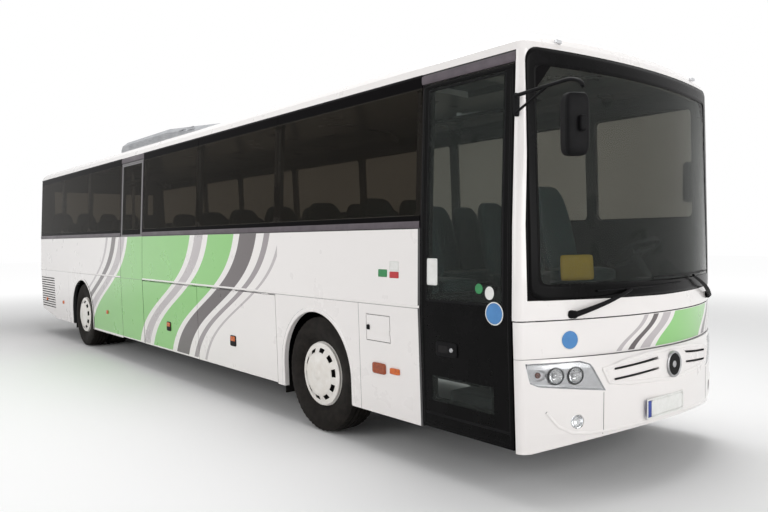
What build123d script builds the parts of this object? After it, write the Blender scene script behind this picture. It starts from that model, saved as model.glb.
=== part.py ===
"""Twelve-metre intercity coach, low-entry doors on the right, built of its real panels and running gear.

Millimetres. +X points forward, +Y to the left, +Z up. The origin is on the ground, under the middle of
the coach's overall length and breadth.
"""

import os
from math import atan2, cos, pi, radians, sin, sqrt

from build123d import *

os.makedirs("parts", exist_ok=True)

# ---------------------------------------------------------------- driving dimensions
# Reach along the coach, measured from the front axle unless the name says otherwise.
wheelbase = 7030
nose_reach = 2690  # bumper's nose, ahead of the front axle
mirror_reach = 2910.6  # foremost point of the mirrors
rear_overhang = 2684  # body's rear face, behind the rear axle
rear_bumper_depth = 66
front_reach_overall = mirror_reach
rear_reach_overall = wheelbase + rear_overhang + rear_bumper_depth

x_front = (rear_reach_overall - front_reach_overall) / 2  # front axle's place along the coach
x_rear = x_front - wheelbase
x_tail = x_rear - rear_overhang  # the body's rear face
x_pillar = x_front + 2277  # where the side meets the front pillar

# Side skin, half breadth and height: sill, rub rail, belt line, eave.
half_breadth = 1275
sill_z, rail_z, belt_z, eave_z = 329, 1213, 1809, 2948
side_table = [
    (half_breadth - 27, sill_z), (half_breadth, rail_z), (half_breadth - 9, belt_z),
    (half_breadth - 56, eave_z),
]
# Roof skin from the eave to the crown, with the front cap's reach at each height and how far it arches.
#             half breadth, height, front reach, bow
roof_table = [
    (half_breadth - 56, eave_z, 2470, 145),
    (half_breadth - 80, eave_z + 62, 2448, 148),
    (half_breadth - 130, eave_z + 112, 2405, 145),
    (half_breadth - 235, eave_z + 157, 2330, 130),
    (half_breadth - 415, eave_z + 192, 2215, 95),
    (half_breadth - 845, eave_z + 222, 2040, 30),
]
crown_z = eave_z + 232
wall = 50  # side wall, whole
roof_wall = 45
glass = 8
seam = 6  # running gap round every lid, flap and door
panel = 28  # flap and lid thickness
corner_reach = 2325  # where the front's arch meets the sides
nose_corner = 55
# Front skin: height and reach ahead of the front axle.
flap_low_z, flap_high_z, screen_low_z, screen_high_z = 951, 1187, 1312, 2925
front_table = [(flap_low_z - 4, 2624), (rail_z, 2610), (belt_z, 2562), (eave_z, 2470)]
bumper_table = [(sill_z, 2642), (sill_z + 121, 2684), (flap_low_z - 75, nose_reach), (flap_low_z - 7, 2650)]

# Doors and openings in the right side, from the front axle.
door_low_z, door_high_z, door_thick = 345, 2862, 40
front_door = (x_front + 1396, x_pillar)
mid_door = (x_front - 5094, x_front - 4232)
door_arm = 500
door_post_set = 120  # post to the portal's hinge-side edge
door_post_y = 1110
door_arm_z = (1010, 2600)
# Luggage flaps: the same openings on both sides.
bay_splits = [x_front - 4232, x_front - 2496, x_front - 699]
# Wheels
tyre_radius, tyre_width, rim_radius = 522, 298, 290
axle_z = tyre_radius
track_half = 1086  # outer wheels' middle plane
twin_pitch = 340
kingpin_y = 930
front_arch = (-575, 512, 1092)  # rear edge and front edge from the axle, and top
rear_arch = (-550, 560, 1108)
# Floors
floor_z, floor_thick = 900, 40
podium_z, podium_x = 1190, x_rear - 1620
bay_floor_z = 360
rail_low_z = floor_z - floor_thick - 80
aisle = 290
seat_pitch = 800
hinge_pin = 5


# ---------------------------------------------------------------- section helpers
def half_at(z):
    """Half breadth of the side skin at a height, straight between the table's rows."""
    rows = side_table
    for (y0, z0), (y1, z1) in zip(rows, rows[1:]):
        if z <= z1:
            return y0 + (y1 - y0) * (z - z0) / (z1 - z0)
    return rows[-1][0]


def band(low, high, outer, inner, side):
    """Closed outline, in the YZ plane, of a strip of the side wall between two heights and two depths."""
    heights = [low] + [z for _, z in side_table if low < z < high] + [high]
    skin = [(side * (half_at(z) - outer), z) for z in heights]
    back = [(side * (half_at(z) - inner), z) for z in reversed(heights)]
    return skin + back


def side_strip(x0, x1, low, high, outer, inner, side, mode=Mode.ADD):
    """Strip of the side wall, from x0 to x1, as a solid in the part being built."""
    with BuildSketch(Plane.YZ.offset(x0)) as strip:
        Polygon(*band(low, high, outer, inner, side), align=None)
    extrude(strip.sketch, amount=x1 - x0, mode=mode)


def block(x, y, z, mode=Mode.ADD):
    """Box between pairs of limits."""
    with Locations(((x[0] + x[1]) / 2, (y[0] + y[1]) / 2, (z[0] + z[1]) / 2)):
        Box(abs(x[1] - x[0]), abs(y[1] - y[0]), abs(z[1] - z[0]), mode=mode)


def rod(start, end, radius, mode=Mode.ADD):
    """Round bar from one point to another."""
    a, b = Vector(start), Vector(end)
    with BuildSketch(Plane(origin=a, z_dir=b - a)) as end_face:
        Circle(radius)
    extrude(end_face.sketch, amount=(b - a).length, mode=mode)


def prism_x(points, x0, x1, mode=Mode.ADD):
    """Polygon in the YZ plane carried along X."""
    with BuildSketch(Plane.YZ.offset(x0)) as outline:
        Polygon(*points, align=None)
    extrude(outline.sketch, amount=x1 - x0, mode=mode)


def prism_y(points, y0, y1, mode=Mode.ADD):
    """Polygon in the XZ plane carried along Y."""
    with BuildSketch(Plane.XZ.offset(-y1)) as outline:
        Polygon(*points, align=None)
    extrude(outline.sketch, amount=y1 - y0, mode=mode)


def nose_ring(z, reach, breadth, bow, back):
    """Plan outline at one height: straight sides and back, front arched by `bow`, rounded corners."""
    arch = (breadth**2 + bow**2) / (2 * bow)
    radius = min(nose_corner, breadth * 0.3)
    arch_x = x_front + reach - arch
    corner_x = arch_x + sqrt((arch - radius) ** 2 - (breadth - radius) ** 2)
    turn = atan2(breadth - radius, corner_x - arch_x)
    half_turn = (turn + radians(90)) / 2
    tangent = (arch_x + arch * cos(turn), arch * sin(turn))
    middle = (corner_x + radius * cos(half_turn), breadth - radius + radius * sin(half_turn))
    with BuildSketch(Plane.XY.offset(z)) as ring:
        with BuildLine():
            ThreePointArc((tangent[0], -tangent[1]), (x_front + reach, 0), tangent)
            ThreePointArc(tangent, middle, (corner_x, breadth))
            Polyline((corner_x, breadth), (back, breadth), (back, -breadth), (corner_x, -breadth))
            ThreePointArc((corner_x, -breadth), (middle[0], -middle[1]), (tangent[0], -tangent[1]))
        make_face()
    return ring.sketch


def nose_block(rows, back, inset=0, drop=0):
    """Ruled loft through plan outlines; rows hold height, reach, half breadth and bow."""
    rings = [
        nose_ring(z - drop, reach - inset, breadth - inset, bow, back) for z, reach, breadth, bow in rows
    ]
    with BuildPart() as nose:
        loft(rings, ruled=True)
    return nose.part


def save(piece, name):
    """Label the piece and write its STEP file."""
    piece.part.label = name
    export_step(piece.part, f"parts/{name}.step")


# ---------------------------------------------------------------- side walls and their glass
window_low, window_high = belt_z + 90, eave_z - 90
pillar = 110
wall_tail = x_tail + 60
header_low = door_high_z + seam + 2
skirt_rise = [
    (x_rear - 1600, sill_z - 1), (x_tail - 1, sill_z + 144), (x_tail - 1, sill_z - 200),
    (x_rear - 1600, sill_z - 200),
]
pane_splits = {
    -1: [
        x_tail + 20, mid_door[0] - 4, mid_door[1] + 4, bay_splits[1] + 6, bay_splits[2] + 9, front_door[0] - 6,
    ],
    1: [
        x_tail + 20, x_rear - 470, x_front - 6050, bay_splits[0], bay_splits[1] + 6, bay_splits[2] + 9,
        front_door[0] - 200, x_pillar - 8,
    ],
}
service_flap_x = (x_front + 745, x_front + 1038)
service_flap_z = (920, 1124)


def wheel_opening(arch, x_axle, side):
    """Cut one wheel arch: a round head on straight sides."""
    back, front, top = arch
    radius = (front - back) / 2
    centre_x, centre_z = x_axle + (front + back) / 2, top - radius
    with BuildSketch(Plane.XZ) as arch_outline:
        with Locations((centre_x, centre_z)):
            Circle(radius)
        with Locations((centre_x, centre_z / 2)):
            Rectangle(2 * radius, centre_z)
    extrude(arch_outline.sketch, amount=-side * 1400, mode=Mode.SUBTRACT)


def flap_hinge(x0, x1, side, on_wall):
    """Knuckles of a flap's top hinge: the wall's and the flap's lie end to end on one axis."""
    z = flap_axis_z
    y = side * flap_axis_y
    length = 60
    for middle in (x0 + 200, (x0 + x1) / 2, x1 - 200):
        shift = 0.15 if on_wall else -length - 0.15
        start, end = middle + shift, middle + shift + length
        rod((start, y, z), (end, y, z), hinge_pin)
        reach = (z, rail_z + 20) if on_wall else (z - 20, z)
        block((start, end), (y - side * hinge_pin, y), reach)


flap_low_edge = sill_z + 14
flap_top_edge = rail_z - 14
flap_axis_z = flap_top_edge
flap_axis_y = half_at(flap_top_edge) - hinge_pin - 1


def build_side_wall(side):
    """Whole side wall with its door, wheel, flap and window openings."""
    right = side < 0
    with BuildPart() as body:
        side_strip(wall_tail, x_pillar, sill_z, belt_z, 0, wall, side)
        side_strip(wall_tail, x_pillar, belt_z, eave_z, glass, wall, side)
        wheel_opening(front_arch, x_front, side)
        wheel_opening(rear_arch, x_rear, side)
        if right:
            block((front_door[0], x_pillar + 1), (-1400, -1000), (0, header_low), Mode.SUBTRACT)
            block(mid_door, (-1400, -1000), (0, header_low), Mode.SUBTRACT)
        # luggage flap rebate, open at the sill, and the bay openings behind it
        side_strip(
            bay_splits[0] - 2, bay_splits[-1] + 2, sill_z - 1, rail_z - 4, -1, panel + seam, side,
            Mode.SUBTRACT,
        )
        for x0, x1 in zip(bay_splits, bay_splits[1:]):
            block((x0 + 40, x1 - 40), (side * 1100, side * 1400), (sill_z + 70, rail_z - 70), Mode.SUBTRACT)
            flap_hinge(x0 + 4, x1 - 4, side, True)
        if right:
            x0, x1 = service_flap_x
            z0, z1 = service_flap_z
            side_strip(x0 - seam, x1 + seam, z0 - seam, z1 + seam, -1, 18 + seam, side, Mode.SUBTRACT)
            block((x0 + 25, x1 - 25), (-1100, -1400), (z0 + 25, z1 - 25), Mode.SUBTRACT)
            # hinge knuckle of the service flap, at its forward edge
            axis = (x1 - 3, -half_at(z1) + 7)
            rod((*axis, z0 + 60.3), (*axis, z0 + 90), 4)
            block((axis[0], x1 + seam + 1), (axis[1] - 1, axis[1] + 4), (z0 + 60.3, z0 + 90))
            # cooling louvres over the engine bay
            for row in range(13):
                z = 520 + row * 45
                block((x_tail + 80, x_rear - 1690), (-1400, -1000), (z, z + 18), Mode.SUBTRACT)
        # rear of the skirt rises
        with BuildSketch(Plane.XZ):
            Polygon(*skirt_rise, align=None)
        extrude(amount=1400, both=True, mode=Mode.SUBTRACT)
        # windows between the pillars
        for x0, x1 in zip(pane_splits[side], pane_splits[side][1:]):
            if x1 - x0 < 1000 and right:
                continue
            bays = max(1, round((x1 - x0) / 1750))
            width = (x1 - x0) / bays
            with BuildSketch(Plane.XZ):
                for bay in range(bays):
                    with Locations((x0 + (bay + 0.5) * width, (window_low + window_high) / 2)):
                        RectangleRounded(width - pillar, window_high - window_low, 60)
            extrude(amount=-side * 1400, mode=Mode.SUBTRACT)
        if right:
            # bearings that carry the middle door's post, and their arms to the wall
            post_x = mid_door[0] + door_post_set
            for z in door_arm_z:
                level = (z - 60, z - 30)
                block((mid_door[0] - 90, post_x), (-door_post_y - 20, -door_post_y + 20), level)
                block(
                    (mid_door[0] - 90, mid_door[0] - 20), (-half_at(z - 60) + wall - 3, -door_post_y), level,
                )
                with Locations((post_x, -door_post_y, z - 45)):
                    Cylinder(34, 30)
                    Cylinder(20.5, 32, mode=Mode.SUBTRACT)
    return body


for name, side in (("wall_right", -1), ("wall_left", 1)):
    save(build_side_wall(side), name)


# bonded side panes, flush with the skin, over the pillars
with BuildPart() as side_glazing:
    for side, splits in pane_splits.items():
        for x0, x1 in zip(splits, splits[1:]):
            if side < 0 and x1 - x0 < 1000:
                continue
            side_strip(max(x0 + 3, wall_tail), x1 - 3, belt_z + 3, eave_z - 3, 0, glass, side)
save(side_glazing, "side_glazing")

# ---------------------------------------------------------------- roof
roof_outer = [(y, z) for y, z, _, _ in roof_table]
roof_inner = [(y - roof_wall, z - (0 if row == 0 else roof_wall)) for row, (y, z) in enumerate(roof_outer)]
cap_back = x_front + 1900


def mirrored(points):
    """Half outline and its mirror image, in one closed run without doubled points."""
    far = [(-y, z) for y, z in reversed(points) if abs(y) > 0.01]
    return points + far


hatch_places = [x_front + 700, x_rear - 1100]
hatch_size = 620
hatch_half = hatch_size / 2
with BuildPart() as roof_shell:
    prism_x(mirrored(roof_outer + [(0.001, crown_z)]), wall_tail, cap_back)
    prism_x(mirrored(roof_inner + [(0.001, crown_z - roof_wall)]), wall_tail - 1, cap_back + 1, Mode.SUBTRACT)
    for x in hatch_places:
        block(
            (x - hatch_half, x + hatch_half), (-hatch_half, hatch_half), (crown_z - 80, crown_z + 5),
            Mode.SUBTRACT,
        )
        with BuildSketch(Plane.XY.offset(crown_z - 30)):
            with Locations((x, 0)):
                Rectangle(hatch_size + 60, hatch_size + 60)
                Rectangle(hatch_size, hatch_size, mode=Mode.SUBTRACT)
        extrude(amount=38)
        for y in (-180, 180):
            rod((x + hatch_half + 42, y + 0.15, crown_z + 20), (x + hatch_half + 42, y + 50, crown_z + 20), 8)
            block(
                (x + hatch_half + 34, x + hatch_half + 50), (y + 0.15, y + 50), (crown_z - 20, crown_z + 20),
            )
save(roof_shell, "roof_shell")

for name, x in zip(("roof_hatch_front", "roof_hatch_rear"), hatch_places):
    with BuildPart() as hatch:
        low = crown_z + 8.3
        block(
            (x - hatch_half - 28, x + hatch_half + 28), (-hatch_half - 28, hatch_half + 28), (low, low + 34),
        )
        fillet(hatch.edges().filter_by(Axis.Z), radius=60)
        chamfer(hatch.faces().sort_by(Axis.Z)[-1].edges(), length=12)
        for y in (-180, 180):
            rod((x + hatch_half + 42, y - 50, crown_z + 20), (x + hatch_half + 42, y - 0.15, crown_z + 20), 8)
            block((x + hatch_half, x + hatch_half + 42), (y - 50, y - 0.15), (crown_z + 12.5, crown_z + 27.5))
    save(hatch, name)

air_half, air_top = 800, crown_z + 170
air_x = [x_front - 6350, x_front - 6230, x_front - 4500, x_front - 2900]
with BuildPart() as roof_air_unit:
    profile = [
        (air_x[0], crown_z - 60), (air_x[0], crown_z + 50), (air_x[1], air_top), (air_x[2], air_top),
        (air_x[3], crown_z + 40), (air_x[3], crown_z - 60),
    ]
    prism_y(profile, -air_half, air_half)
    chamfer(roof_air_unit.faces().sort_by(Axis.Z)[-1].edges().filter_by(Axis.X), length=60)
    under_roof = mirrored([(1300, 2500)] + roof_outer + [(0.001, crown_z)])
    prism_x(under_roof, air_x[0] - 1, air_x[3] + 1, Mode.SUBTRACT)
save(roof_air_unit, "roof_air_unit")

# ---------------------------------------------------------------- front mask and windscreen
mask_rows = [(z, reach, half_at(z), reach - corner_reach) for z, reach in front_table]
cap_rows = [(z, reach, y, bow) for y, z, reach, bow in roof_table]
screen_outline = [
    (0.001, screen_low_z),
    (-1212, screen_low_z + 12),
    (-1216, screen_low_z + 500),
    (-1172, screen_high_z - 130),
    (-1050, screen_high_z - 12),
]
mask_outer = nose_block(mask_rows, x_pillar)
mask_under_glass = nose_block(mask_rows, x_pillar - 100, inset=glass)
with BuildPart() as windscreen:
    add(mask_outer)
    prism_x(mirrored(screen_outline), x_front, x_front + 3000, Mode.INTERSECT)
    add(mask_under_glass, mode=Mode.SUBTRACT)
    block((x_front - 100, x_front + 2000), (-1300, 1300), (0, 3500), Mode.SUBTRACT)
save(windscreen, "windscreen")

mask_inner = nose_block(mask_rows, x_pillar - 100, inset=roof_wall)
cap_outer = nose_block(cap_rows, cap_back)
cap_inner = nose_block(cap_rows, cap_back - 100, inset=roof_wall, drop=roof_wall)
screen_hole = [(y * 0.945, z + (55 if z < 2000 else -55)) for y, z in screen_outline]
beam_z = flap_high_z + 8
front_post_x = (x_pillar + 8, x_pillar + 48)
front_post_y = (1095, 1140)
tow_beam_z = (560, 640)
front_arm = 200
front_arm_pivot = (x_front + 2400, beam_z - 14)
front_arm_y = 620
with BuildPart() as front_mask:
    add(mask_outer)
    add(cap_outer)
    add(mask_inner, mode=Mode.SUBTRACT)
    add(cap_inner, mode=Mode.SUBTRACT)
    block((x_pillar - 500, x_pillar - 0.001), (-1150, 1150), (0, eave_z), Mode.SUBTRACT)
    add(windscreen.part, mode=Mode.SUBTRACT)
    prism_x(mirrored(screen_hole), x_front + 2020, x_front + 3000, Mode.SUBTRACT)
    # opening for the front flap
    block((x_front + 2100, x_front + 3000), (-1400, 1400), (0, beam_z), Mode.SUBTRACT)
    # cross beam over the flap, with posts down to the underframe and lugs for the flap's torsion bar
    block((front_post_x[0], front_post_x[1]), (-1232, 1232), (beam_z, beam_z + 40))
    for side in (1, -1):
        block(front_post_x, (side * front_post_y[0], side * front_post_y[1]), (tow_beam_z[1], beam_z + 1))
        for near, far in ((28, 40), (-40, -28)):
            y = side * front_arm_y
            block(
                (front_post_x[0], front_arm_pivot[0] + 18), (y + near, y + far),
                (front_arm_pivot[1] - 18, beam_z + 40),
            )
    rod(
        (front_arm_pivot[0], -900, front_arm_pivot[1]), (front_arm_pivot[0], 900, front_arm_pivot[1]), 9.4,
        Mode.SUBTRACT,
    )
    # bearings that carry the front door's post
    front_door_post = x_pillar - door_post_set
    for z in door_arm_z:
        level = (z - 60, z - 30)
        block((front_door_post, front_post_x[1]), (-door_post_y - 15, -door_post_y + 10), level)
        if z > belt_z:
            block((x_pillar + 5, front_post_x[1]), (-half_at(z - 60) + roof_wall - 3, -door_post_y), level)
        with Locations((front_door_post, -door_post_y, z - 45)):
            Cylinder(34, 30)
            Cylinder(20.5, 32, mode=Mode.SUBTRACT)
save(front_mask, "front_mask")

# ---------------------------------------------------------------- front bumper, lamps, front flap
lamp_outline = [(-1228, 919), (-1200, 790), (-1150, 765), (-688, 711), (-804, 900), (-868, 921)]
fog_place, fog_radius = (895, 522), 46
slot_ends, slot_height = (190, 620), 15
slot_rows = [(806, 772), (878, 842)]  # lower edge at each end: the slots rise towards the middle
bumper_rows = [(z, reach, half_at(z), reach - corner_reach) for z, reach in bumper_table]
bumper_outer = nose_block(bumper_rows, x_pillar)
bumper_inner = nose_block(bumper_rows, x_pillar - 100, inset=roof_wall)
lamp_back = x_front + 2262
lip_half, lip_rise = 1190, 112  # the bumper's lower lip, an arc


def lamp_prisms(shrink):
    """Both headlamp outlines as prisms, a little smaller for the lamps than for their pockets."""
    centre = (-1000, 826)
    points = [(y + (centre[0] - y) * shrink, z + (centre[1] - z) * shrink) for y, z in lamp_outline]
    with BuildPart() as prisms:
        for side in (1, -1):
            prism_x([(side * y, z) for y, z in points], lamp_back, x_front + 3000)
    return prisms.part


lamp_core = nose_block(bumper_rows, x_pillar - 200, inset=70)
with BuildPart() as front_bumper:
    add(bumper_outer)
    add(bumper_inner, mode=Mode.SUBTRACT)
    add(lamp_prisms(0), mode=Mode.SUBTRACT)
    for side in (1, -1):
        rod(
            (x_front + 2200, side * fog_place[0], fog_place[1]),
            (x_front + 2700, side * fog_place[0], fog_place[1]), fog_radius, Mode.SUBTRACT,
        )
        for inner, outer in slot_rows:
            low = [(side * slot_ends[0], inner), (side * slot_ends[1], outer)]
            high = [(side * slot_ends[1], outer + slot_height), (side * slot_ends[0], inner + slot_height)]
            prism_x(low + high, x_front + 2400, x_front + 2800, Mode.SUBTRACT)
    block((x_front, x_pillar + seam), (-1300, 1300), (0, 1200), Mode.SUBTRACT)
    # the lower lip rises towards the middle
    with BuildSketch(Plane.YZ.offset(x_front + 2330)):
        with BuildLine():
            ThreePointArc((-lip_half, sill_z - 1), (0, sill_z + lip_rise), (lip_half, sill_z - 1))
            Line((lip_half, sill_z - 1), (-lip_half, sill_z - 1))
        make_face()
    extrude(amount=500, mode=Mode.SUBTRACT)
save(front_bumper, "front_bumper")

with BuildPart() as headlamps:
    add(bumper_outer)
    add(lamp_core, mode=Mode.SUBTRACT)
    add(lamp_prisms(0), mode=Mode.INTERSECT)
    add(front_mask.part, mode=Mode.SUBTRACT)
    for side in (1, -1):
        rod(
            (x_front + 2410, side * fog_place[0], fog_place[1]),
            (x_front + 2496, side * fog_place[0], fog_place[1]), fog_radius,
        )
save(headlamps, "headlamps")

flap_rows = [(z, reach, half_at(z), reach - corner_reach) for z, reach in front_table[:2]]
flap_skin = nose_block(flap_rows, x_pillar)
flap_core = nose_block(flap_rows, x_pillar - 100, inset=panel)
arm_x, arm_top = front_arm_pivot
arm_low = arm_top - front_arm
with BuildPart() as front_flap:
    add(flap_skin)
    add(flap_core, mode=Mode.SUBTRACT)
    block((x_front, x_front + 3000), (-1300, 1300), (flap_high_z, 2000), Mode.SUBTRACT)
    block((x_front, x_pillar + seam), (-1300, 1300), (0, 2000), Mode.SUBTRACT)
    for side in (1, -1):
        y = side * front_arm_y
        block((arm_x - 14, x_front + 2530), (y + 0.3, y + 12), (arm_low - 14, arm_low + 14))
        rod((arm_x, y - 24, arm_low), (arm_x, y + 0.3, arm_low), 6)
save(front_flap, "front_flap")

with BuildPart() as front_flap_arms:
    for side in (1, -1):
        y = side * front_arm_y
        block((arm_x - 10, arm_x + 10), (y - 24, y), (arm_low, arm_top))
        for z in (arm_low, arm_top):
            rod((arm_x, y - 24, z), (arm_x, y, z), 14)
        rod((arm_x, y - 25, arm_low), (arm_x, y + 1, arm_low), 6.3, Mode.SUBTRACT)
    # torsion bar that ties the two arms together
    rod((arm_x, -front_arm_y - 45, arm_top), (arm_x, front_arm_y + 45, arm_top), 9)
save(front_flap_arms, "front_flap_arms")

# ---------------------------------------------------------------- rear end
body_half = [(half_at(z), z) for z in (sill_z + 144, rail_z, belt_z)] + roof_outer
rear_points = mirrored([(0.001, sill_z + 144)] + body_half + [(0.001, crown_z)])
rear_inset = 34
lid_y, lid_z = 880, (800, 1500)
rear_window_z = (1930, 2800)
tail_lamp_y, tail_lamp_z = (1060, 1180), (880, 1420)
lid_axis = (x_tail + 8, lid_z[1] - 6)
with BuildPart() as rear_wall:
    with BuildSketch(Plane.YZ.offset(wall_tail)) as inner_face:
        Polygon(*rear_points, align=None)
    with BuildSketch(Plane.YZ.offset(x_tail)) as outer_face:
        with Locations((0, 0)):
            shrunk = [
                (y * (1 - rear_inset / half_breadth), z - rear_inset * (z - 1700) / 1500) for y,
                z in rear_points
            ]
            Polygon(*shrunk, align=None)
    loft([outer_face.sketch, inner_face.sketch], ruled=True)
    block((x_tail - 1, x_tail + glass), (-1060, 1060), rear_window_z, Mode.SUBTRACT)
    block(
        (x_tail - 1, wall_tail + 1), (-1000, 1000), (rear_window_z[0] + 60, rear_window_z[1] - 60),
        Mode.SUBTRACT,
    )
    block(
        (x_tail - 1, x_tail + panel + seam), (-lid_y - seam, lid_y + seam), (lid_z[0] - seam, lid_z[1] + 8),
        Mode.SUBTRACT,
    )
    block(
        (x_tail - 1, wall_tail + 1), (-lid_y + 50, lid_y - 50), (lid_z[0] + 50, lid_z[1] - 60), Mode.SUBTRACT,
    )
    for side in (1, -1):
        block(
            (x_tail - 1, x_tail + 45), (side * tail_lamp_y[0], side * tail_lamp_y[1]), tail_lamp_z,
            Mode.SUBTRACT,
        )
    for y in (-600, 0, 600):
        rod((lid_axis[0], y + 0.15, lid_axis[1]), (lid_axis[0], y + 60, lid_axis[1]), hinge_pin)
        block(
            (lid_axis[0] - hinge_pin, lid_axis[0] + hinge_pin), (y + 0.15, y + 60),
            (lid_axis[1], lid_z[1] + 20),
        )
save(rear_wall, "rear_wall")

with BuildPart() as rear_window:
    block((x_tail, x_tail + glass), (-1057, 1057), (rear_window_z[0] + 3, rear_window_z[1] - 3))
    fillet(rear_window.edges().filter_by(Axis.X), radius=70)
save(rear_window, "rear_window")

with BuildPart() as engine_lid:
    block((x_tail + 2, x_tail + panel), (-lid_y, lid_y), (lid_z[0], lid_z[1] - 6))
    fillet(engine_lid.edges().filter_by(Axis.X).group_by(Axis.Z)[0], radius=60)
    for row in range(8):
        z = lid_z[0] + 240 + row * 45
        block((x_tail, x_tail + 100), (-600, 600), (z, z + 18), Mode.SUBTRACT)
    for y in (-600, 0, 600):
        block(
            (x_tail, x_tail + panel), (y - 61, y + 61), (lid_axis[1] - hinge_pin - 1, lid_axis[1] + 1),
            Mode.SUBTRACT,
        )
        rod((lid_axis[0], y - 60, lid_axis[1]), (lid_axis[0], y - 0.15, lid_axis[1]), hinge_pin)
        block((lid_axis[0] - 4, lid_axis[0] + 4), (y - 60, y - 0.15), (lid_axis[1] - 12, lid_axis[1]))
save(engine_lid, "engine_lid")

with BuildPart() as tail_lamps:
    for side in (1, -1):
        block((x_tail - 6, x_tail + 45), (side * tail_lamp_y[0], side * tail_lamp_y[1]), tail_lamp_z)
    fillet(tail_lamps.edges().filter_by(Axis.X), radius=25)
save(tail_lamps, "tail_lamps")

with BuildPart() as rear_bumper:
    block((x_tail - rear_bumper_depth, x_tail), (-1225, 1225), (sill_z + 150, 780))
    fillet(rear_bumper.edges().filter_by(Axis.Z).group_by(Axis.X)[0], radius=60)
    chamfer(rear_bumper.faces().sort_by(Axis.X)[0].edges().filter_by(Axis.Y), length=18)
save(rear_bumper, "rear_bumper")

# ---------------------------------------------------------------- floor, podium, housings, steps
floor_half = half_at(floor_z - floor_thick) - wall - 0.5
floor_front = x_front + 2230
floor_low = floor_z - floor_thick
well_y = (-floor_half - 1, -490)
front_well = (front_door[0] + 2, floor_front + 1)
mid_well = (mid_door[0] + 2, mid_door[1] - 2)
housing_wall = 18
#            axle x, rear face, front face, inner wall y, top
housing_table = [(x_front, -650, 620, 525, 1150), (x_rear, -620, 650, 555, 1160)]
with BuildPart() as cabin_floor:
    block((podium_x, floor_front), (-floor_half, floor_half), (floor_low, floor_z))
    block((wall_tail, podium_x + 20), (-floor_half, floor_half), (podium_z - floor_thick, podium_z))
    block((podium_x, podium_x + 20), (-floor_half, floor_half), (floor_low, podium_z))
    for axle_x, back, front, inner, _ in housing_table:
        for side in (1, -1):
            block(
                (axle_x + back, axle_x + front), (side * inner, side * 1400), (0, floor_z + 1), Mode.SUBTRACT,
            )
    block(front_well, well_y, (0, floor_z + 1), Mode.SUBTRACT)
    block(mid_well, well_y, (0, floor_z + 1), Mode.SUBTRACT)
save(cabin_floor, "cabin_floor")

with BuildPart() as wheel_housings:
    for axle_x, back, front, inner, top in housing_table:
        for side in (1, -1):
            outer = half_at(sill_z + 200) - wall - 0.5
            x0, x1 = axle_x + back, axle_x + front
            block((x0, x1), (side * inner, side * outer), (sill_z + 200, top))
            block(
                (x0 + housing_wall, x1 - housing_wall), (side * (inner + housing_wall), side * 1400),
                (0, top - housing_wall), Mode.SUBTRACT,
            )
            block(
                (axle_x - 110, axle_x + 110), (side * (inner - 1), side * (inner + 100)), (0, axle_z + 110),
                Mode.SUBTRACT,
            )
save(wheel_housings, "wheel_housings")

step_edge = -(half_at(door_low_z) - door_thick - 15)
step_count = 3
step_depth = (well_y[1] - step_edge) / step_count
step_low = door_low_z + 45
step_rise = (floor_z - step_low) / step_count
step_thick = 30
with BuildPart() as entry_steps:
    tread, under = [(step_edge, step_low - 40)], []
    for step in range(step_count):
        y, z = step_edge + step * step_depth, step_low + step * step_rise
        tread += [(y, z), (y + step_depth - (20 if step == step_count - 1 else 0), z)]
        under += [
            (y + step_thick, z - (40 if step == 0 else step_thick)),
            (y + step_depth + step_thick, z - (40 if step == 0 else step_thick)),
        ]
    under = under[1:-1] + [(well_y[1] - 0.3, step_low + (step_count - 1) * step_rise - step_thick)]
    tread += [(well_y[1] - 20, floor_z), (well_y[1] - 0.3, floor_z)]
    for x0, x1 in ((front_well[0], x_front + 2110), mid_well):
        prism_x(tread + under[::-1], x0 + 1, x1 - 1)
save(entry_steps, "entry_steps")

# ---------------------------------------------------------------- luggage flaps and service flap
for side_name, side in (("right", -1), ("left", 1)):
    for number, (x0, x1) in enumerate(zip(bay_splits, bay_splits[1:])):
        place = ("rear", "front")[number]
        with BuildPart() as flap:
            side_strip(x0 + 4, x1 - 4, flap_low_edge, flap_top_edge, 0, panel, side)
            for middle in (x0 + 200 + 4, (x0 + x1) / 2, x1 - 200 - 4):
                block(
                    (middle - 61, middle + 61), (side * 1200, side * 1300),
                    (flap_axis_z - 6, flap_axis_z + 1), Mode.SUBTRACT,
                )
            flap_hinge(x0 + 4, x1 - 4, side, False)
        save(flap, f"luggage_flap_{side_name}_{place}")

with BuildPart() as service_flap:
    x0, x1 = service_flap_x
    z0, z1 = service_flap_z
    side_strip(x0, x1, z0, z1, 0, 18, -1)
    axis = (x1 - 3, -half_at(z1) + 7)
    block((x1 - 9, x1 + 1), (-1300, -1200), (z0 + 58, z0 + 92), Mode.SUBTRACT)
    rod((*axis, z0 + 30), (*axis, z0 + 60), 4)
save(service_flap, "service_flap")

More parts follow.
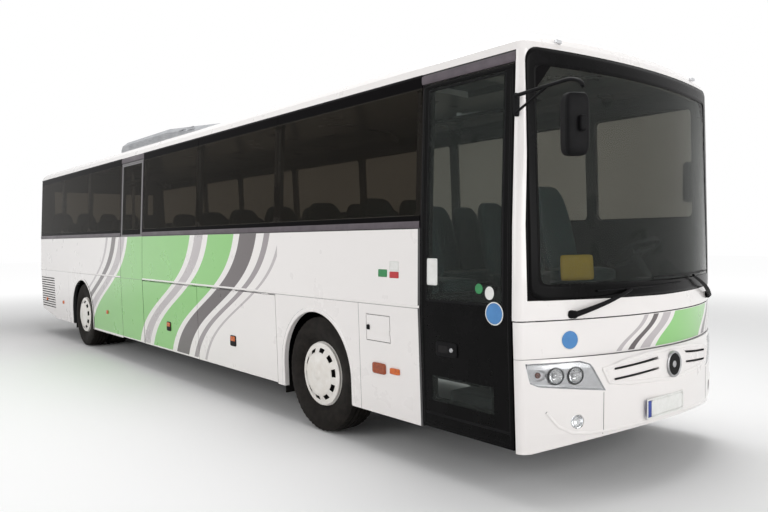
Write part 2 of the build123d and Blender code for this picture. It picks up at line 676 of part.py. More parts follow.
# ---------------------------------------------------------------- passenger doors
door_table = [
    # name, portal, which way the arm points when shut, glass openings (x0, x1, z0, z1)
    ("front", front_door, -1, [(94, 779, 1300, 2830), (134, 684, 570, 716)]),
    ("mid", mid_door, 1, [(92, 770, 1850, 2800)]),
]
door_gap = 8
arm_radius = 13
crank = (130, 75)
boss_height = 40
for name, (x0, x1), way, lights in door_table:
    post_x = x1 - door_post_set if way < 0 else x0 + door_post_set
    post_low = door_arm_z[0] - 75 if way < 0 else floor_z + 0.3
    pivot_x = post_x + way * door_arm
    # leaf with its glass set flush from outside
    with BuildPart() as leaf:
        side_strip(x0 + door_gap, x1 - door_gap, door_low_z, door_high_z, 0, door_thick, -1)
        for left, right, low, high in lights:
            side_strip(x0 + left - 25, x0 + right + 25, low - 20, high + 20, -1, glass, -1, Mode.SUBTRACT)
            block((x0 + left, x0 + right), (-1400, -1000), (low, high), Mode.SUBTRACT)
        for z in door_arm_z:
            inner_face = -half_at(z) + door_thick
            block((x0 + door_gap, x1 - door_gap), (inner_face - 4, inner_face + 20), (z - 26, z - 0.3))
            block((pivot_x - 15, pivot_x + 15), (inner_face, -door_post_y), (z - 26, z - 0.3))
            rod((pivot_x, -door_post_y, z - 26), (pivot_x, -door_post_y, z - 0.3), 20)
            rod((pivot_x, -door_post_y, z - 10), (pivot_x, -door_post_y, z + boss_height - 8), 8)
    save(leaf, f"door_{name}_leaf")
    with BuildPart() as panes:
        for left, right, low, high in lights:
            side_strip(x0 + left - 25, x0 + right + 25, low - 20, high + 20, 0, glass, -1)
    save(panes, f"door_{name}_glass")
    with BuildPart() as arm:
        rod((post_x, -door_post_y, post_low), (post_x, -door_post_y, door_high_z - 120), 20)
        for z in door_arm_z:
            middle = z + boss_height / 2
            elbow = (post_x + way * crank[0], -door_post_y + crank[1], middle)
            tip = (pivot_x, -door_post_y, middle)
            rod((post_x, -door_post_y, middle), elbow, arm_radius)
            rod(elbow, tip, arm_radius)
            with Locations(elbow):
                Sphere(arm_radius)
            rod((pivot_x, -door_post_y, z), (pivot_x, -door_post_y, z + boss_height), 20)
            rod(
                (pivot_x, -door_post_y, z - 1), (pivot_x, -door_post_y, z + boss_height + 1), 8.4,
                Mode.SUBTRACT,
            )
    save(arm, f"door_{name}_arm")

# ---------------------------------------------------------------- side marker lamps
marker_table = [
    (x_front - 9288, 676), (x_front - 8177, 683), (x_front - 5757, 697), (x_front - 3365, 660),
    (x_front - 1613, 660), (x_front + 912, 687), (x_front + 1093, 701),
]
marker_size = (86, 62, 9)
fixed_markers = [row for row in marker_table if not bay_splits[0] < row[0] < bay_splits[-1]]
with BuildPart() as side_markers:
    for side in (1, -1):
        for x, z in fixed_markers:
            width, height, depth = marker_size
            side_strip(x - width / 2, x + width / 2, z - height / 2, z + height / 2, -depth, 0, side)
save(side_markers, "side_markers")

# ---------------------------------------------------------------- underframe, luggage bay, engine
frame_gap = 0.2
jack_places, jack_y = (x_front + 725, x_rear - 760), 700
rail_y, rail_wide = 480, 60
cross_places = [
    x_rear - 1450, x_rear - 700, x_rear + 720, x_rear + 1500, x_front - 4300, x_front - 3300, x_front - 2420,
    x_front - 1500, x_front - 760, x_front + 700, x_front + 1250,
]
rail_back, rail_front = wall_tail + 1, x_front + 2180
tow_hole, tow_x, tow_z = 21, x_tail - 5, (395, 455)
rail_inner = rail_y - rail_wide
tail_frame_x = (rail_back, rail_back + 60)
nose_frame_x = (rail_front - 60, rail_front)
with BuildPart() as underframe:
    # the members stand a hair apart, so each stays a plain bar of its own
    for side in (1, -1):
        block((rail_back, rail_front), (side * rail_inner, side * rail_y), (rail_low_z, floor_low))
    for x in cross_places:
        reach = 380 if mid_door[0] - 40 < x < mid_door[1] + 40 or x > front_door[0] - 40 else floor_half - 20
        spans = [
            (-rail_inner, rail_inner), (rail_y, floor_half - 20),
        ] + ([(-reach, -rail_y)] if reach > rail_y else [])
        for low, high in spans:
            block((x, x + 50), (low + frame_gap, high - frame_gap), (rail_low_z, floor_low))
    # beam behind the front bumper, hung from the rails, with its brackets to the bumper
    for side in (1, -1):
        hanger_z = (tow_beam_z[1] + frame_gap, rail_low_z - frame_gap)
        block(nose_frame_x, (side * rail_inner, side * rail_y), hanger_z)
        block((nose_frame_x[0], x_pillar + seam - 0.01), (side * 1130, side * 1190), tow_beam_z)
        block((x_pillar + 0.01, x_pillar + seam - 0.01), (side * (1190 + frame_gap), side * 1238), tow_beam_z)
    block(nose_frame_x, (-1130 + frame_gap, 1130 - frame_gap), tow_beam_z)
    # rear rails' drop to the bumper
    for side in (1, -1):
        block(
            tail_frame_x, (side * rail_inner, side * rail_y), (tow_z[1] + frame_gap, rail_low_z - frame_gap),
        )
    # rear cross beam and the towing jaw, a lug with an upright bore for the pin
    block(tail_frame_x, (-rail_y, rail_y), tow_z)
    block((tow_x, rail_back - frame_gap), (-60, 60), tow_z)
    rod((tow_x, 0, tow_z[0]), (tow_x, 0, tow_z[1]), 60)
    rod((tow_x, 0, tow_z[0] - 1), (tow_x, 0, tow_z[1] + 1), tow_hole, Mode.SUBTRACT)
    # jacking pads under the rails
    for x in jack_places:
        for side in (1, -1):
            block(
                (x - 60, x + 60), (side * (jack_y - 50), side * (jack_y + 50)),
                (rail_low_z - 12, rail_low_z - frame_gap),
            )
save(underframe, "underframe")

bay_x = (bay_splits[0] + 2, bay_splits[-1] - 2)
bay_half = half_at(sill_z + 8) - wall - 0.5
with BuildPart() as luggage_bay:
    block(bay_x, (-bay_half, bay_half), (sill_z + 8, bay_floor_z))
    for x0 in (bay_x[0], bay_x[1] - 20):
        block((x0, x0 + 20), (-bay_half, bay_half), (sill_z + 8, rail_low_z - 0.01))
save(luggage_bay, "luggage_bay")

engine_x = (x_tail + 140, x_tail + 1040)
with BuildPart() as engine_block:
    block(engine_x, (-400, 400), (430, 1130))
    block((engine_x[1], engine_x[1] + 650), (-260, 260), (440, 760))
    fillet(engine_block.edges().filter_by(Axis.X), radius=30)
    rod((engine_x[1] + 640, 0, axle_z + 40), (x_rear - 245.3, 0, axle_z + 40), 45)
    for side in (1, -1):
        block(
            (engine_x[0] + 200, engine_x[0] + 320), (side * 380, side * (rail_y - rail_wide)),
            (rail_low_z + 10, rail_low_z + 60),
        )
save(engine_block, "engine_block")

# ---------------------------------------------------------------- axles and steering
beam_end_y = kingpin_y
pin_radius = 22
fork_gap = 45
with BuildPart() as front_axle:
    prism_x(
        [
            (-beam_end_y + 60, axle_z - 35), (-600, axle_z - 130), (600, axle_z - 130),
            (beam_end_y - 60, axle_z - 35), (beam_end_y - 60, axle_z + 35), (560, axle_z - 50),
            (-560, axle_z - 50), (-beam_end_y + 60, axle_z + 35),
        ],
        x_front - 45, x_front + 45,
    )
    for side in (1, -1):
        rod(
            (x_front, side * beam_end_y, axle_z - fork_gap), (x_front, side * beam_end_y, axle_z + fork_gap),
            48,
        )
        block(
            (x_front - 30, x_front + 30), (side * (beam_end_y - 70), side * (beam_end_y - 20)),
            (axle_z - 35, axle_z + 35),
        )
        # air bellows up to the rails
        rod((x_front, side * 450, axle_z - 60), (x_front, side * 450, rail_low_z - 0.01), 75)
        rod(
            (x_front, side * beam_end_y, axle_z - 100), (x_front, side * beam_end_y, axle_z + 100),
            pin_radius + 0.4, Mode.SUBTRACT,
        )
save(front_axle, "front_axle")

hub_y = 150  # from the kingpin out to the wheel's mounting face
spindle = 32
for name, side in (("right", -1), ("left", 1)):
    y = side * kingpin_y
    with BuildPart() as knuckle:
        for low, high in ((-fork_gap - 40, -fork_gap - 0.4), (fork_gap + 0.4, fork_gap + 40)):
            rod((x_front, y, axle_z + low), (x_front, y, axle_z + high), 48)
            block((x_front - 40, x_front + 40), (y, y + side * 80), (axle_z + low, axle_z + high))
        rod((x_front, y, axle_z - fork_gap - 40), (x_front, y, axle_z + fork_gap + 40), pin_radius)
        block(
            (x_front - 60, x_front + 60), (y + side * 58, y + side * 90),
            (axle_z - fork_gap - 40, axle_z + fork_gap + 40),
        )
        rod((x_front, y + side * 85, axle_z), (x_front, y + side * (hub_y + 70), axle_z), spindle)
        # steering lever
        block(
            (x_front - 190, x_front - 40), (y - side * 10, y + side * 15),
            (axle_z - fork_gap - 34, axle_z - fork_gap - 10),
        )
    save(knuckle, f"knuckle_{name}")

axle_tube_y = 770
with BuildPart() as rear_axle:
    rod((x_rear, -axle_tube_y, axle_z), (x_rear, axle_tube_y, axle_z), 62)
    rod((x_rear - 245, 0, axle_z + 20), (x_rear + 190, 0, axle_z + 20), 170)
    for side in (1, -1):
        rod((x_rear, side * (axle_tube_y - 10), axle_z), (x_rear, side * (track_half + 20), axle_z), 40)
        block((x_rear - 420, x_rear + 420), (side * 400, side * 480), (axle_z + 20, axle_z + 90))
        for dx in (-360, 360):
            rod((x_rear + dx, side * 440, axle_z + 80), (x_rear + dx, side * 440, rail_low_z - 0.01), 90)
save(rear_axle, "rear_axle")

# ---------------------------------------------------------------- wheels
half_tyre = tyre_width / 2
tyre_sides = 48
#               radius to a flat, distance from the wheel's middle plane
tyre_section = [
    (392, -half_tyre), (410, -half_tyre), (494, -128), (tyre_radius, -108), (tyre_radius, 108),
    (494, 128), (410, half_tyre), (392, half_tyre), (rim_radius, 105), (rim_radius, -105),
]


def tyre_ring(x, y):
    """Tyre round the axle through (x, y), of flat faces so narrow that they read as round."""
    turn = 2 * pi / tyre_sides
    rings = []
    for flat, out in tyre_section:
        corner = flat / cos(turn / 2)
        angles = [(step + 0.5) * turn for step in range(tyre_sides)]
        rings.append([(x + corner * sin(angle), y + out, axle_z + corner * cos(angle)) for angle in angles])
    faces = []
    for ring, following in zip(rings, rings[1:] + rings[:1]):
        for step in range(tyre_sides):
            quad = [ring[step - 1], ring[step], following[step], following[step - 1]]
            faces.append(Face(Wire.make_polygon(quad)))
    add(Solid(Shell(faces)))


def wheel_ring(profile, x, y, side):
    """Revolve a profile of radius and outward distance round a wheel's axle."""
    plane = Plane(origin=(x, y, axle_z), x_dir=(1, 0, 0), z_dir=(0, 0, 1))
    with BuildSketch(plane) as half_section:
        Polygon(*[(radius, side * out) for radius, out in profile], align=None)
    revolve(half_section.sketch, axis=Axis((x, y, axle_z), (0, 1, 0)))


def rim_profile(disc_out, bore):
    """Rim with its disc: outer barrel, then the disc at `disc_out` from the wheel's middle plane."""
    return [
        (rim_radius - 0.4, -105), (rim_radius - 0.4, 105), (rim_radius - 22, 112), (rim_radius - 34, 60),
        (
            rim_radius - 60, disc_out + 10,
        ), (bore, disc_out + 10), (bore, disc_out - 8), (rim_radius - 62, disc_out - 8),
        (rim_radius - 46, 20), (rim_radius - 34, -60), (rim_radius - 22, -112),
    ]


for end, x in (("front", x_front), ("rear", x_rear)):
    for name, side in (("right", -1), ("left", 1)):
        outer_y = side * track_half
        inner_y = side * (track_half - twin_pitch)
        with BuildPart() as tyre:
            tyre_ring(x, outer_y)
            if end == "rear":
                tyre_ring(x, inner_y)
        save(tyre, f"tyre_{end}_{name}")
        with BuildPart() as rim:
            if end == "front":
                wheel_ring(rim_profile(45, 36), x, outer_y, side)
                hub_in, bore = side * (kingpin_y + 92), spindle + 0.4
                rod((x, hub_in, axle_z), (x, outer_y + side * 100, axle_z), 110)
            else:
                wheel_ring(rim_profile(-60, 60), x, outer_y, side)
                wheel_ring(rim_profile(-100, 60), x, inner_y, -side)
                bore = 40.4
                rod((x, side * (axle_tube_y + 1), axle_z), (x, outer_y + side * 60, axle_z), 110)
            with Locations(Location((x, outer_y, axle_z), (90, 0, 0))):
                Cylinder(bore, 1200, mode=Mode.SUBTRACT)
        save(rim, f"rim_{end}_{name}")

mud_thick, mud_low = 8, 240
with BuildPart() as mud_flaps:
    for axle_x, back, *_ in housing_table:
        for side in (1, -1):
            place = (axle_x + back - mud_thick, axle_x + back)
            block(place, (side * 640, side * 1190), (mud_low, sill_z + 260))
save(mud_flaps, "mud_flaps")

# ---------------------------------------------------------------- driver's place and seats
dash_rows = [(floor_z - 5, 2626, half_at(floor_z), 301)] + mask_rows[1:]
dash_y = (-1088, 1088)
dash_outline = [
    (x_front + 2130, floor_z), (x_front + 2225, floor_z), (x_front + 2330, 1235), (x_front + 2400, 1240),
    (x_front + 2400, 1290), (x_front + 2290, 1330), (x_front + 2120, 1290), (x_front + 2080, 1215),
    (x_front + 2120, 1150),
]
with BuildPart() as dashboard:
    prism_y(dash_outline, *dash_y)
    add(nose_block(dash_rows, x_pillar - 500, inset=roof_wall + 25), mode=Mode.INTERSECT)
    block((x_front + 2000, x_front + 2262), (-1300, -900), (0, 2000), Mode.SUBTRACT)
    # instrument binnacle and the column's foot
    block((x_front + 2100, x_front + 2290), (430, 870), (1280, 1400))
    add(front_mask.part, mode=Mode.SUBTRACT)
save(dashboard, "dashboard")

wheel_centre = Vector(x_front + 1985, 650, 1600)
column_tilt = 32
column = Vector(-sin(radians(column_tilt)), 0, cos(radians(column_tilt)))
wheel_plane = Plane(origin=wheel_centre, z_dir=column, x_dir=(0, 1, 0))
with BuildPart() as steering_column:
    low = wheel_centre - column * 330
    rod(low, (wheel_centre - column * 40.3), 38)
    rod((wheel_centre - column * 45), (wheel_centre - column * 12), 10)
    add(dashboard.part, mode=Mode.SUBTRACT)
save(steering_column, "steering_column")

with BuildPart() as steering_wheel:
    with Locations(wheel_plane):
        Torus(225, 16)
    for angle in (90, 210, 330):
        direction = wheel_plane.x_dir.rotate(Axis((0, 0, 0), column), angle)
        rod(wheel_centre - column * 18 + direction * 40, wheel_centre + direction * 215, 11)
    rod(wheel_centre - column * 40, wheel_centre - column * 5, 62)
    rod(wheel_centre - column * 46, wheel_centre - column * 11, 10.4, Mode.SUBTRACT)
save(steering_wheel, "steering_wheel")


def seat(x, y, width, base, back_height, back_top_lean=110):
    """One padded seat facing forward: cushion, leaning back and pedestal."""
    cushion = base + 450
    block((x - 230, x + 230), (y - width / 2, y + width / 2), (cushion - 110, cushion))
    lean = [
        (x - 200, cushion - 110), (x - 330, cushion - 110), (x - 340 - back_top_lean, base + back_height),
        (x - 240 - back_top_lean, base + back_height),
    ]
    prism_y(lean, y - width / 2, y + width / 2)


with BuildPart() as driver_seat:
    seat(x_front + 1480, 650, 480, floor_z + 60, 1230, 60)
    block((x_front + 1300, x_front + 1640), (500, 800), (floor_z, floor_z + 401))
save(driver_seat, "driver_seat")

row_start = x_front + 880
right_rows = [row_start - seat_pitch * row for row in range(6)] + [
    mid_door[0] - 420 - seat_pitch * row
    for row in range(4)
]
left_rows = [row_start - seat_pitch * row for row in range(11)]
seat_breadth = 445
with BuildPart() as passenger_seats:
    for side, rows in ((-1, right_rows), (1, left_rows)):
        for x in rows:
            for y in (aisle + seat_breadth / 2, aisle + seat_breadth * 1.5):
                seat(x, side * y, seat_breadth, floor_z, 1180)
            block((x - 180, x + 180), (side * (aisle + 30), side * (aisle + 90)), (floor_z, floor_z + 341))
        if side > 0:
            for place in range(5):
                seat(x_tail + 560, (place - 2) * seat_breadth, seat_breadth, podium_z - 60, 1180)
            block((x_tail + 330, x_tail + 760), (-1000, 1000), (podium_z, podium_z + 281))
save(passenger_seats, "passenger_seats")

# ---------------------------------------------------------------- mirrors and wipers
#               side, head's place ahead and out, its low and high edge, its breadth
# side, head's place along and across, its heights, arm's top, foot's heights, which end of the head the arm meets
mirror_table = [
    (-1, 2839.5, 1355, 2200, 2560, 2700, (2530, 2640), 1),
    (1, 2130, 1355, 2040, 2400, 2500, (2330, 2440), -1),
]
mirror_wide, mirror_thick, mirror_turn = 158, 105, 62


def build_mirror(side, head_x, head_y, head_low, head_high, top, foot_z, way):
    """Mirror head on its bent tube arm, with a brace, from a foot on the front pillar."""
    with BuildPart() as mirror:
        hx, hy = x_front + head_x, side * head_y
        foot = (x_front + 2298, side * 1255)
        with BuildSketch(Plane.XY.offset(head_low)) as head:
            with Locations(Location((hx, hy, 0), (0, 0, side * -mirror_turn))):
                RectangleRounded(mirror_wide, mirror_thick, 35)
        extrude(head.sketch, amount=head_high - head_low)
        block(
            (foot[0] - 14, foot[0] + 14), (side * 1180, foot[1] + side * 8), (foot_z[0] - 20, foot_z[1] + 20),
        )
        bend = Vector(hx + way * 40, hy + side * 31, top)
        root = Vector(foot[0], foot[1], foot_z[1])
        rod(root, bend, 13)
        with Locations(bend):
            Sphere(13)
        rod(bend, (hx + way * 40, hy + side * 22, head_high - 80), 13)
        rod((foot[0], foot[1], foot_z[0]), root + (bend - root) * 0.5, 9)
        add(mask_outer, mode=Mode.SUBTRACT)
    return mirror.part


with BuildPart() as mirrors:
    for row in mirror_table:
        add(build_mirror(*row))
save(mirrors, "mirrors")

wiper_z = flap_high_z + 45
with BuildPart() as wipers:
    for side in (1, -1):
        y = side * 980
        surface = x_front + 2610 - (2610 - corner_reach) * (980 / half_breadth) ** 2
        rod((surface - 60, y, wiper_z), (surface + 38, y, wiper_z), 22)
        tip = (x_front + 2628, side * 120, wiper_z + 175)
        rod((surface + 24, y, wiper_z), tip, 9)
    add(mask_outer, mode=Mode.SUBTRACT)
save(wipers, "wipers")
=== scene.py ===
import bmesh
import bpy
import numpy as np
from mathutils import Matrix, Vector


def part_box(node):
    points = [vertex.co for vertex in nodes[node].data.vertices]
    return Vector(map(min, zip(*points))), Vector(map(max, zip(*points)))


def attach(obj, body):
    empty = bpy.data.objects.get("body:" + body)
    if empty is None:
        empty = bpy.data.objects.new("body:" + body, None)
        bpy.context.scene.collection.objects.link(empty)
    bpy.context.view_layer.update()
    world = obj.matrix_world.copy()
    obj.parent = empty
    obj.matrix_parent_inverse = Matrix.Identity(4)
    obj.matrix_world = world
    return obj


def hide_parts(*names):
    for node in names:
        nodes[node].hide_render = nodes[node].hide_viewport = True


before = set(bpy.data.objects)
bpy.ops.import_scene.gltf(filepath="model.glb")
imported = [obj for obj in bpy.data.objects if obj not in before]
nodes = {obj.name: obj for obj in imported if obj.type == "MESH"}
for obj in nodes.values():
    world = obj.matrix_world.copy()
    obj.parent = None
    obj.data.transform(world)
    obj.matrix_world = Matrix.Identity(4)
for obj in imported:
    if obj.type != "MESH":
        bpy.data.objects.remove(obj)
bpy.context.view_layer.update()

# %% [markdown]
# Most pieces are placed from a few lengths that a coachbuilder would chalk on the floor: where the
# axles are, how wide the body is at each height, and how far the front bulges at each height.
# The axle places are read off the wheels themselves, so the looks follow the solids.
# %% Chalk lines
front_low, front_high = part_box("tyre_front_right")
rear_low, rear_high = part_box("tyre_rear_right")
FX = (front_low.x + front_high.x) / 2
RX = (rear_low.x + rear_high.x) / 2
REAR_OVERHANG = 2.684
TAIL = RX - REAR_OVERHANG
HUB_Z = (front_low.z + front_high.z) / 2
SILL, RAIL, BELT, EAVE = 0.329, 1.213, 1.809, 2.948
SIDE_Z, SIDE_Y = [SILL, RAIL, BELT, EAVE], [1.248, 1.275, 1.266, 1.219]
MASK_Z, MASK_X = [0.947, RAIL, BELT, EAVE, 3.010], [2.624, 2.610, 2.562, 2.470, 2.448]
NOSE_Z, NOSE_X = [SILL, 0.450, 0.876, 0.944], [2.642, 2.684, 2.690, 2.650]
CAP_Z, CAP_X = [EAVE, 3.010, 3.060, 3.080], [2.470, 2.448, 2.405, 2.360]
CORNER_X, CORNER_R = 2.325, 0.055
D0, D1 = FX + 1.396, FX + 2.277  # front door, from edge to edge
M0, M1 = FX - 5.094, FX - 4.232  # middle door
SIDES = (-1, 1)  # right and left
print("front axle", round(FX, 4), "rear axle", round(RX, 4), "hub height", round(HUB_Z, 3))


# %% The skins as functions
def side_y(z):
    """Half breadth of the body: straight lines between (z, y) = the four rows of SIDE_Z, SIDE_Y."""
    return np.interp(z, SIDE_Z, SIDE_Y)


def nose_x(y, z, rows_z, rows_x):
    """Front skin. With reach R(z), half breadth b(z) and bow w = R - CORNER_X, the plan at one height is
    an arc of radius A = (b^2 + w^2) / 2w, x = R - A + sqrt(A^2 - y^2), ended by a corner arc of radius c."""
    reach, b, c = np.interp(z, rows_z, rows_x), side_y(z), CORNER_R
    w = reach - CORNER_X
    arch = (b**2 + w**2) / (2 * w)
    centre = reach - arch
    middle = centre + np.sqrt((arch - c) ** 2 - (b - c) ** 2)
    tangent = arch * np.sin(np.arctan2(b - c, middle - centre))
    past = np.clip(np.abs(y) - (b - c), 0, c)
    face = centre + np.sqrt(np.maximum(arch**2 - y**2, 0))
    return FX + np.where(np.abs(y) < tangent, face, middle + np.sqrt(c**2 - past**2))


def mask_x(y, z):
    """The windscreen's and front flap's skin."""
    return nose_x(y, z, MASK_Z, MASK_X)


def bumper_x(y, z):
    """The bumper's skin."""
    return nose_x(y, z, NOSE_Z, NOSE_X)


print("windscreen foot on the middle line", round(float(mask_x(0.0, 1.312)), 3))


# %% [markdown]
# ## From grids to meshes
# A grid of points is a surface: neighbours make a quad. Wrapping a direction closes it into a tube or a
# ring, and a row whose points all fall together closes a pole. Doubles are then merged and the normals of
# closed shapes recalculated, so faces point outwards whatever way the grid ran.
# %% Grid to mesh
def circle(n):
    """n even angles round the circle."""
    return np.linspace(0, 2 * np.pi, n, endpoint=False)


def unit(rows):
    """Each row of vectors at length 1."""
    return rows / np.linalg.norm(rows, axis=-1, keepdims=True)


def points_of(*coordinates):
    """Arrays of x, y and z together as points."""
    return np.stack(np.broadcast_arrays(*coordinates), -1)


def grid(points, wrap_u=False, wrap_v=False, keep=None):
    """Quads (i,j), (i+1,j), (i+1,j+1), (i,j+1) over an (n, m, 3) array; `keep` masks the quads."""
    n, m = points.shape[:2]
    i, j = np.meshgrid(np.arange(n - (not wrap_u)), np.arange(m - (not wrap_v)), indexing="ij")
    down, over = (i + 1) % n, (j + 1) % m
    quads = np.stack([i * m + j, down * m + j, down * m + over, i * m + over], -1)
    return points.reshape(-1, 3), quads.reshape(-1, 4) if keep is None else quads[keep]


MERGE, SPECK, CREASE = 1e-6, 1e-7, np.radians(38)  # doubles, slivers, and the angle of a sharp edge


def piece(name, grids, finish, body="coach_body", thick=0, closed=None):
    """Joins grids into one object in place, cleans it, gives it its finish and lets it ride. An open sheet
    keeps its way out and gets a thickness; a closed shape is turned outwards."""
    starts = np.cumsum([0] + [len(v) for v, _ in grids])
    mesh = bpy.data.meshes.new(name)
    quads = np.concatenate([q + start for (_, q), start in zip(grids, starts)])
    mesh.from_pydata(np.concatenate([v for v, _ in grids]), [], quads.tolist())
    work = bmesh.new()
    work.from_mesh(mesh)
    bmesh.ops.remove_doubles(work, verts=work.verts, dist=MERGE)
    bmesh.ops.dissolve_degenerate(work, edges=work.edges, dist=SPECK)
    bmesh.ops.delete(work, geom=[v for v in work.verts if not v.link_faces], context="VERTS")
    if closed or (closed is None and not thick):
        bmesh.ops.recalc_face_normals(work, faces=work.faces)
    work.to_mesh(mesh)
    work.free()
    mesh.polygons.foreach_set("use_smooth", np.full(len(mesh.polygons), True))
    mesh.set_sharp_from_angle(angle=CREASE)
    mesh.materials.append(finish)
    obj = bpy.data.objects.new(name, mesh)
    bpy.context.scene.collection.objects.link(obj)
    if thick:
        wall = obj.modifiers.new("sheet", "SOLIDIFY")
        wall.thickness, wall.offset = thick, -1
    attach(obj, body)
    return obj


# %% [markdown]
# Five shapes do nearly all the work. A **patch** is a rectangle of parameters laid on a skin. A **tube** is
# a circle carried along a path. A **turned** piece is a profile swung round an axle. A **pillow** is a
# superellipsoid, which runs from a ball to a soft-edged box as its exponent falls. A **bead** is a small
# closed profile carried along a path that lies on a skin.
# %% Patches
def soft_square(n, m, power):
    """The square (s, t), each point moved along its ray by max(|s|, |t|) / (|s|^p + |t|^p)^(1/p)."""
    s, t = np.meshgrid(np.linspace(-1, 1, n), np.linspace(-1, 1, m), indexing="ij")
    far = (np.abs(s) ** power + np.abs(t) ** power) ** (1 / power)
    k = np.where(far > 0, np.maximum(np.abs(s), np.abs(t)) / np.maximum(far, 1e-9), 1)
    return s * k, t * k


def nose_patch(y0, y1, z0, z1, skin, lift, n, m, power):
    """Superellipse over the front: x = skin(y, z) + lift."""
    s, t = soft_square(n, m, power)
    y, z = (y0 + y1) / 2 + (y1 - y0) / 2 * s, (z0 + z1) / 2 + (z1 - z0) / 2 * t
    return grid(points_of(skin(y, z) + lift, y, z))


def side_patch(x0, x1, z0, z1, lift, n, m, power):
    """The same superellipse over the right side: y = -(side_y(z) + lift)."""
    s, t = soft_square(n, m, power)
    x, z = (x0 + x1) / 2 + (x1 - x0) / 2 * s, (z0 + z1) / 2 + (z1 - z0) / 2 * t
    return grid(points_of(x, -(side_y(z) + lift), z)[::-1])


# %% Tubes, turned pieces and pillows
def tube(path, radius, sides):
    """Centre c(t) plus r(t) (cos a N + sin a B), N and B square to the path; both ends close in a pole.
    N fails where a path that is level elsewhere runs exactly upright."""
    radius = np.full(len(path), radius) if np.isscalar(radius) else radius
    way = unit(np.gradient(path, axis=0))
    n = unit(np.cross(way, [0.0, 0.0, 1.0] if abs(way[:, 2]).mean() < 0.8 else [0.0, 1.0, 0.0]))
    path, n, b = (np.concatenate([rows[:1], rows, rows[-1:]]) for rows in (path, n, np.cross(way, n)))
    radius = np.concatenate([[0], radius, [0]])
    a = circle(sides)[None, :, None]
    ring = np.cos(a) * n[:, None] + np.sin(a) * b[:, None]
    return grid(path[:, None] + radius[:, None, None] * ring, wrap_v=True)


def turned(profile, centre, axis, sides, keep=None):
    """Point (r, h) of the profile goes to centre + h axis + r (cos a U + sin a V), a round the circle."""
    axis = unit(np.asarray(axis, float))
    u = unit(np.cross(axis, [0.0, 0.0, 1.0]))
    a = circle(sides)[:, None]
    r, h = np.asarray(profile, float).T[:, :, None, None]
    ring = np.cos(a) * u + np.sin(a) * np.cross(axis, u)
    return grid(np.asarray(centre) + h * axis + r * ring, wrap_v=True, keep=keep)


def pillow(centre, half, power, n, turn=np.eye(3)):
    """Superellipsoid: half * (c(v) c(u), c(v) s(u), s(v)), where c and s are cos and sin raised to `power`
    with their sign kept, then turned by the 3 x 3 array `turn` and moved to its centre."""
    v, u = np.linspace(-np.pi / 2, np.pi / 2, n)[:, None], circle(2 * n)[None] - np.pi
    cv, cu, su, sv = (np.sign(w) * np.abs(w) ** power for w in (np.cos(v), np.cos(u), np.sin(u), np.sin(v)))
    points = points_of(cv * cu, cv * su, sv)
    points[0, :, :2] = points[-1, :, :2] = 0
    return grid(points * np.asarray(half) @ turn.T + np.asarray(centre), wrap_v=True)


# %% Beads
def between(corners, per, closed=True):
    """Points spread evenly along the straight lines from corner to corner, `per` to a line."""
    corners = np.array(corners + corners[:1] if closed else corners, float)
    t = np.linspace(0, 1, per, endpoint=False)[:, None]
    return np.concatenate([a + (b - a) * t for a, b in zip(corners[:-1], corners[1:])])


def bead(flat, lay, half_width, height, closed=False, sink=0.001):
    """Low rounded bead: path(t) + w(k) across(t) + h(k) out round a flattened circle of profile. `lay` is a
    front skin, for a flat path of (y, z), or -1 or 1 for a side wall and a flat path of (x, z)."""
    way = unit(np.roll(flat, -1, 0) - np.roll(flat, 1, 0) if closed else np.gradient(flat, axis=0))
    (a, z), (along, up) = flat.T[..., None], way.T[..., None]
    if callable(lay):
        path, across, out = points_of(lay(a, z) - sink, a, z), points_of(0, up, -along), [1, 0, 0]
    else:
        path, across, out = points_of(a, lay * (side_y(z) - sink), z), points_of(up, 0, -along), [0, lay, 0]
    k = circle(10)[None, :, None]
    points = path + half_width * np.cos(k) * across + height * np.maximum(np.sin(k), -0.3) * np.array(out)
    if not closed:
        points = np.concatenate([path[:1] + 0 * points[:1], points, path[-1:] + 0 * points[:1]])
    return grid(points, wrap_u=closed, wrap_v=True)


def side_bead(x0, x1, z, side, half_width, height):
    """A straight bead along the side at one height."""
    x = np.linspace(x0, x1, 12)
    return bead(points_of(x, z), side, half_width, height)


def side_frame(x0, x1, z0, z1, half_width, height):
    """A bead round a rectangle on the right side."""
    corners = [(x0, z0), (x0, z1), (x1, z1), (x1, z0)]
    return bead(between(corners, 14), -1, half_width, height, True)


def nose_bead(corners, half_width, height, skin, per=24, closed=True, sink=0.001):
    """A bead through corners (y, z) on a front skin."""
    return bead(between(corners, per, closed), skin, half_width, height, closed, sink)


print("shape words ready: patch, tube, turned, pillow, bead")

# %% [markdown]
# ## Finishes
# A finish is a Principled shader whose colour, roughness and bump come from noise read in Object
# coordinates. All pieces sit at the origin, so Object coordinates are metres on the coach itself, and a
# stripe that starts on one panel runs on over the next. Anything that is the same all over is written
# straight into the shader's own socket.
# %% Words for shader nodes
def node(tree, kind, inputs=None, **settings):
    """One shader node: sockets take a number, a colour or another node's output."""
    made = tree.nodes.new("ShaderNode" + kind)
    for key, value in settings.items():
        setattr(made, key, value)
    for key, value in (inputs or {}).items():
        if isinstance(value, bpy.types.NodeSocket):
            tree.links.new(value, made.inputs[key])
        else:
            made.inputs[key].default_value = value
    return made.outputs


def calc(tree, operation, a, b=0.0):
    """One Math node."""
    return node(tree, "Math", {0: a, 1: b}, operation=operation)[0]


def times(tree, a, b):
    """One Math node that multiplies."""
    return calc(tree, "MULTIPLY", a, b)


def flip(tree, share):
    """1 less a share."""
    return calc(tree, "SUBTRACT", 1.0, share)


def mix(tree, share, a, b):
    """Colour a where share is 0 and b where it is 1."""
    return node(tree, "Mix", {"Factor": share, 6: a, 7: b}, data_type="RGBA")[2]


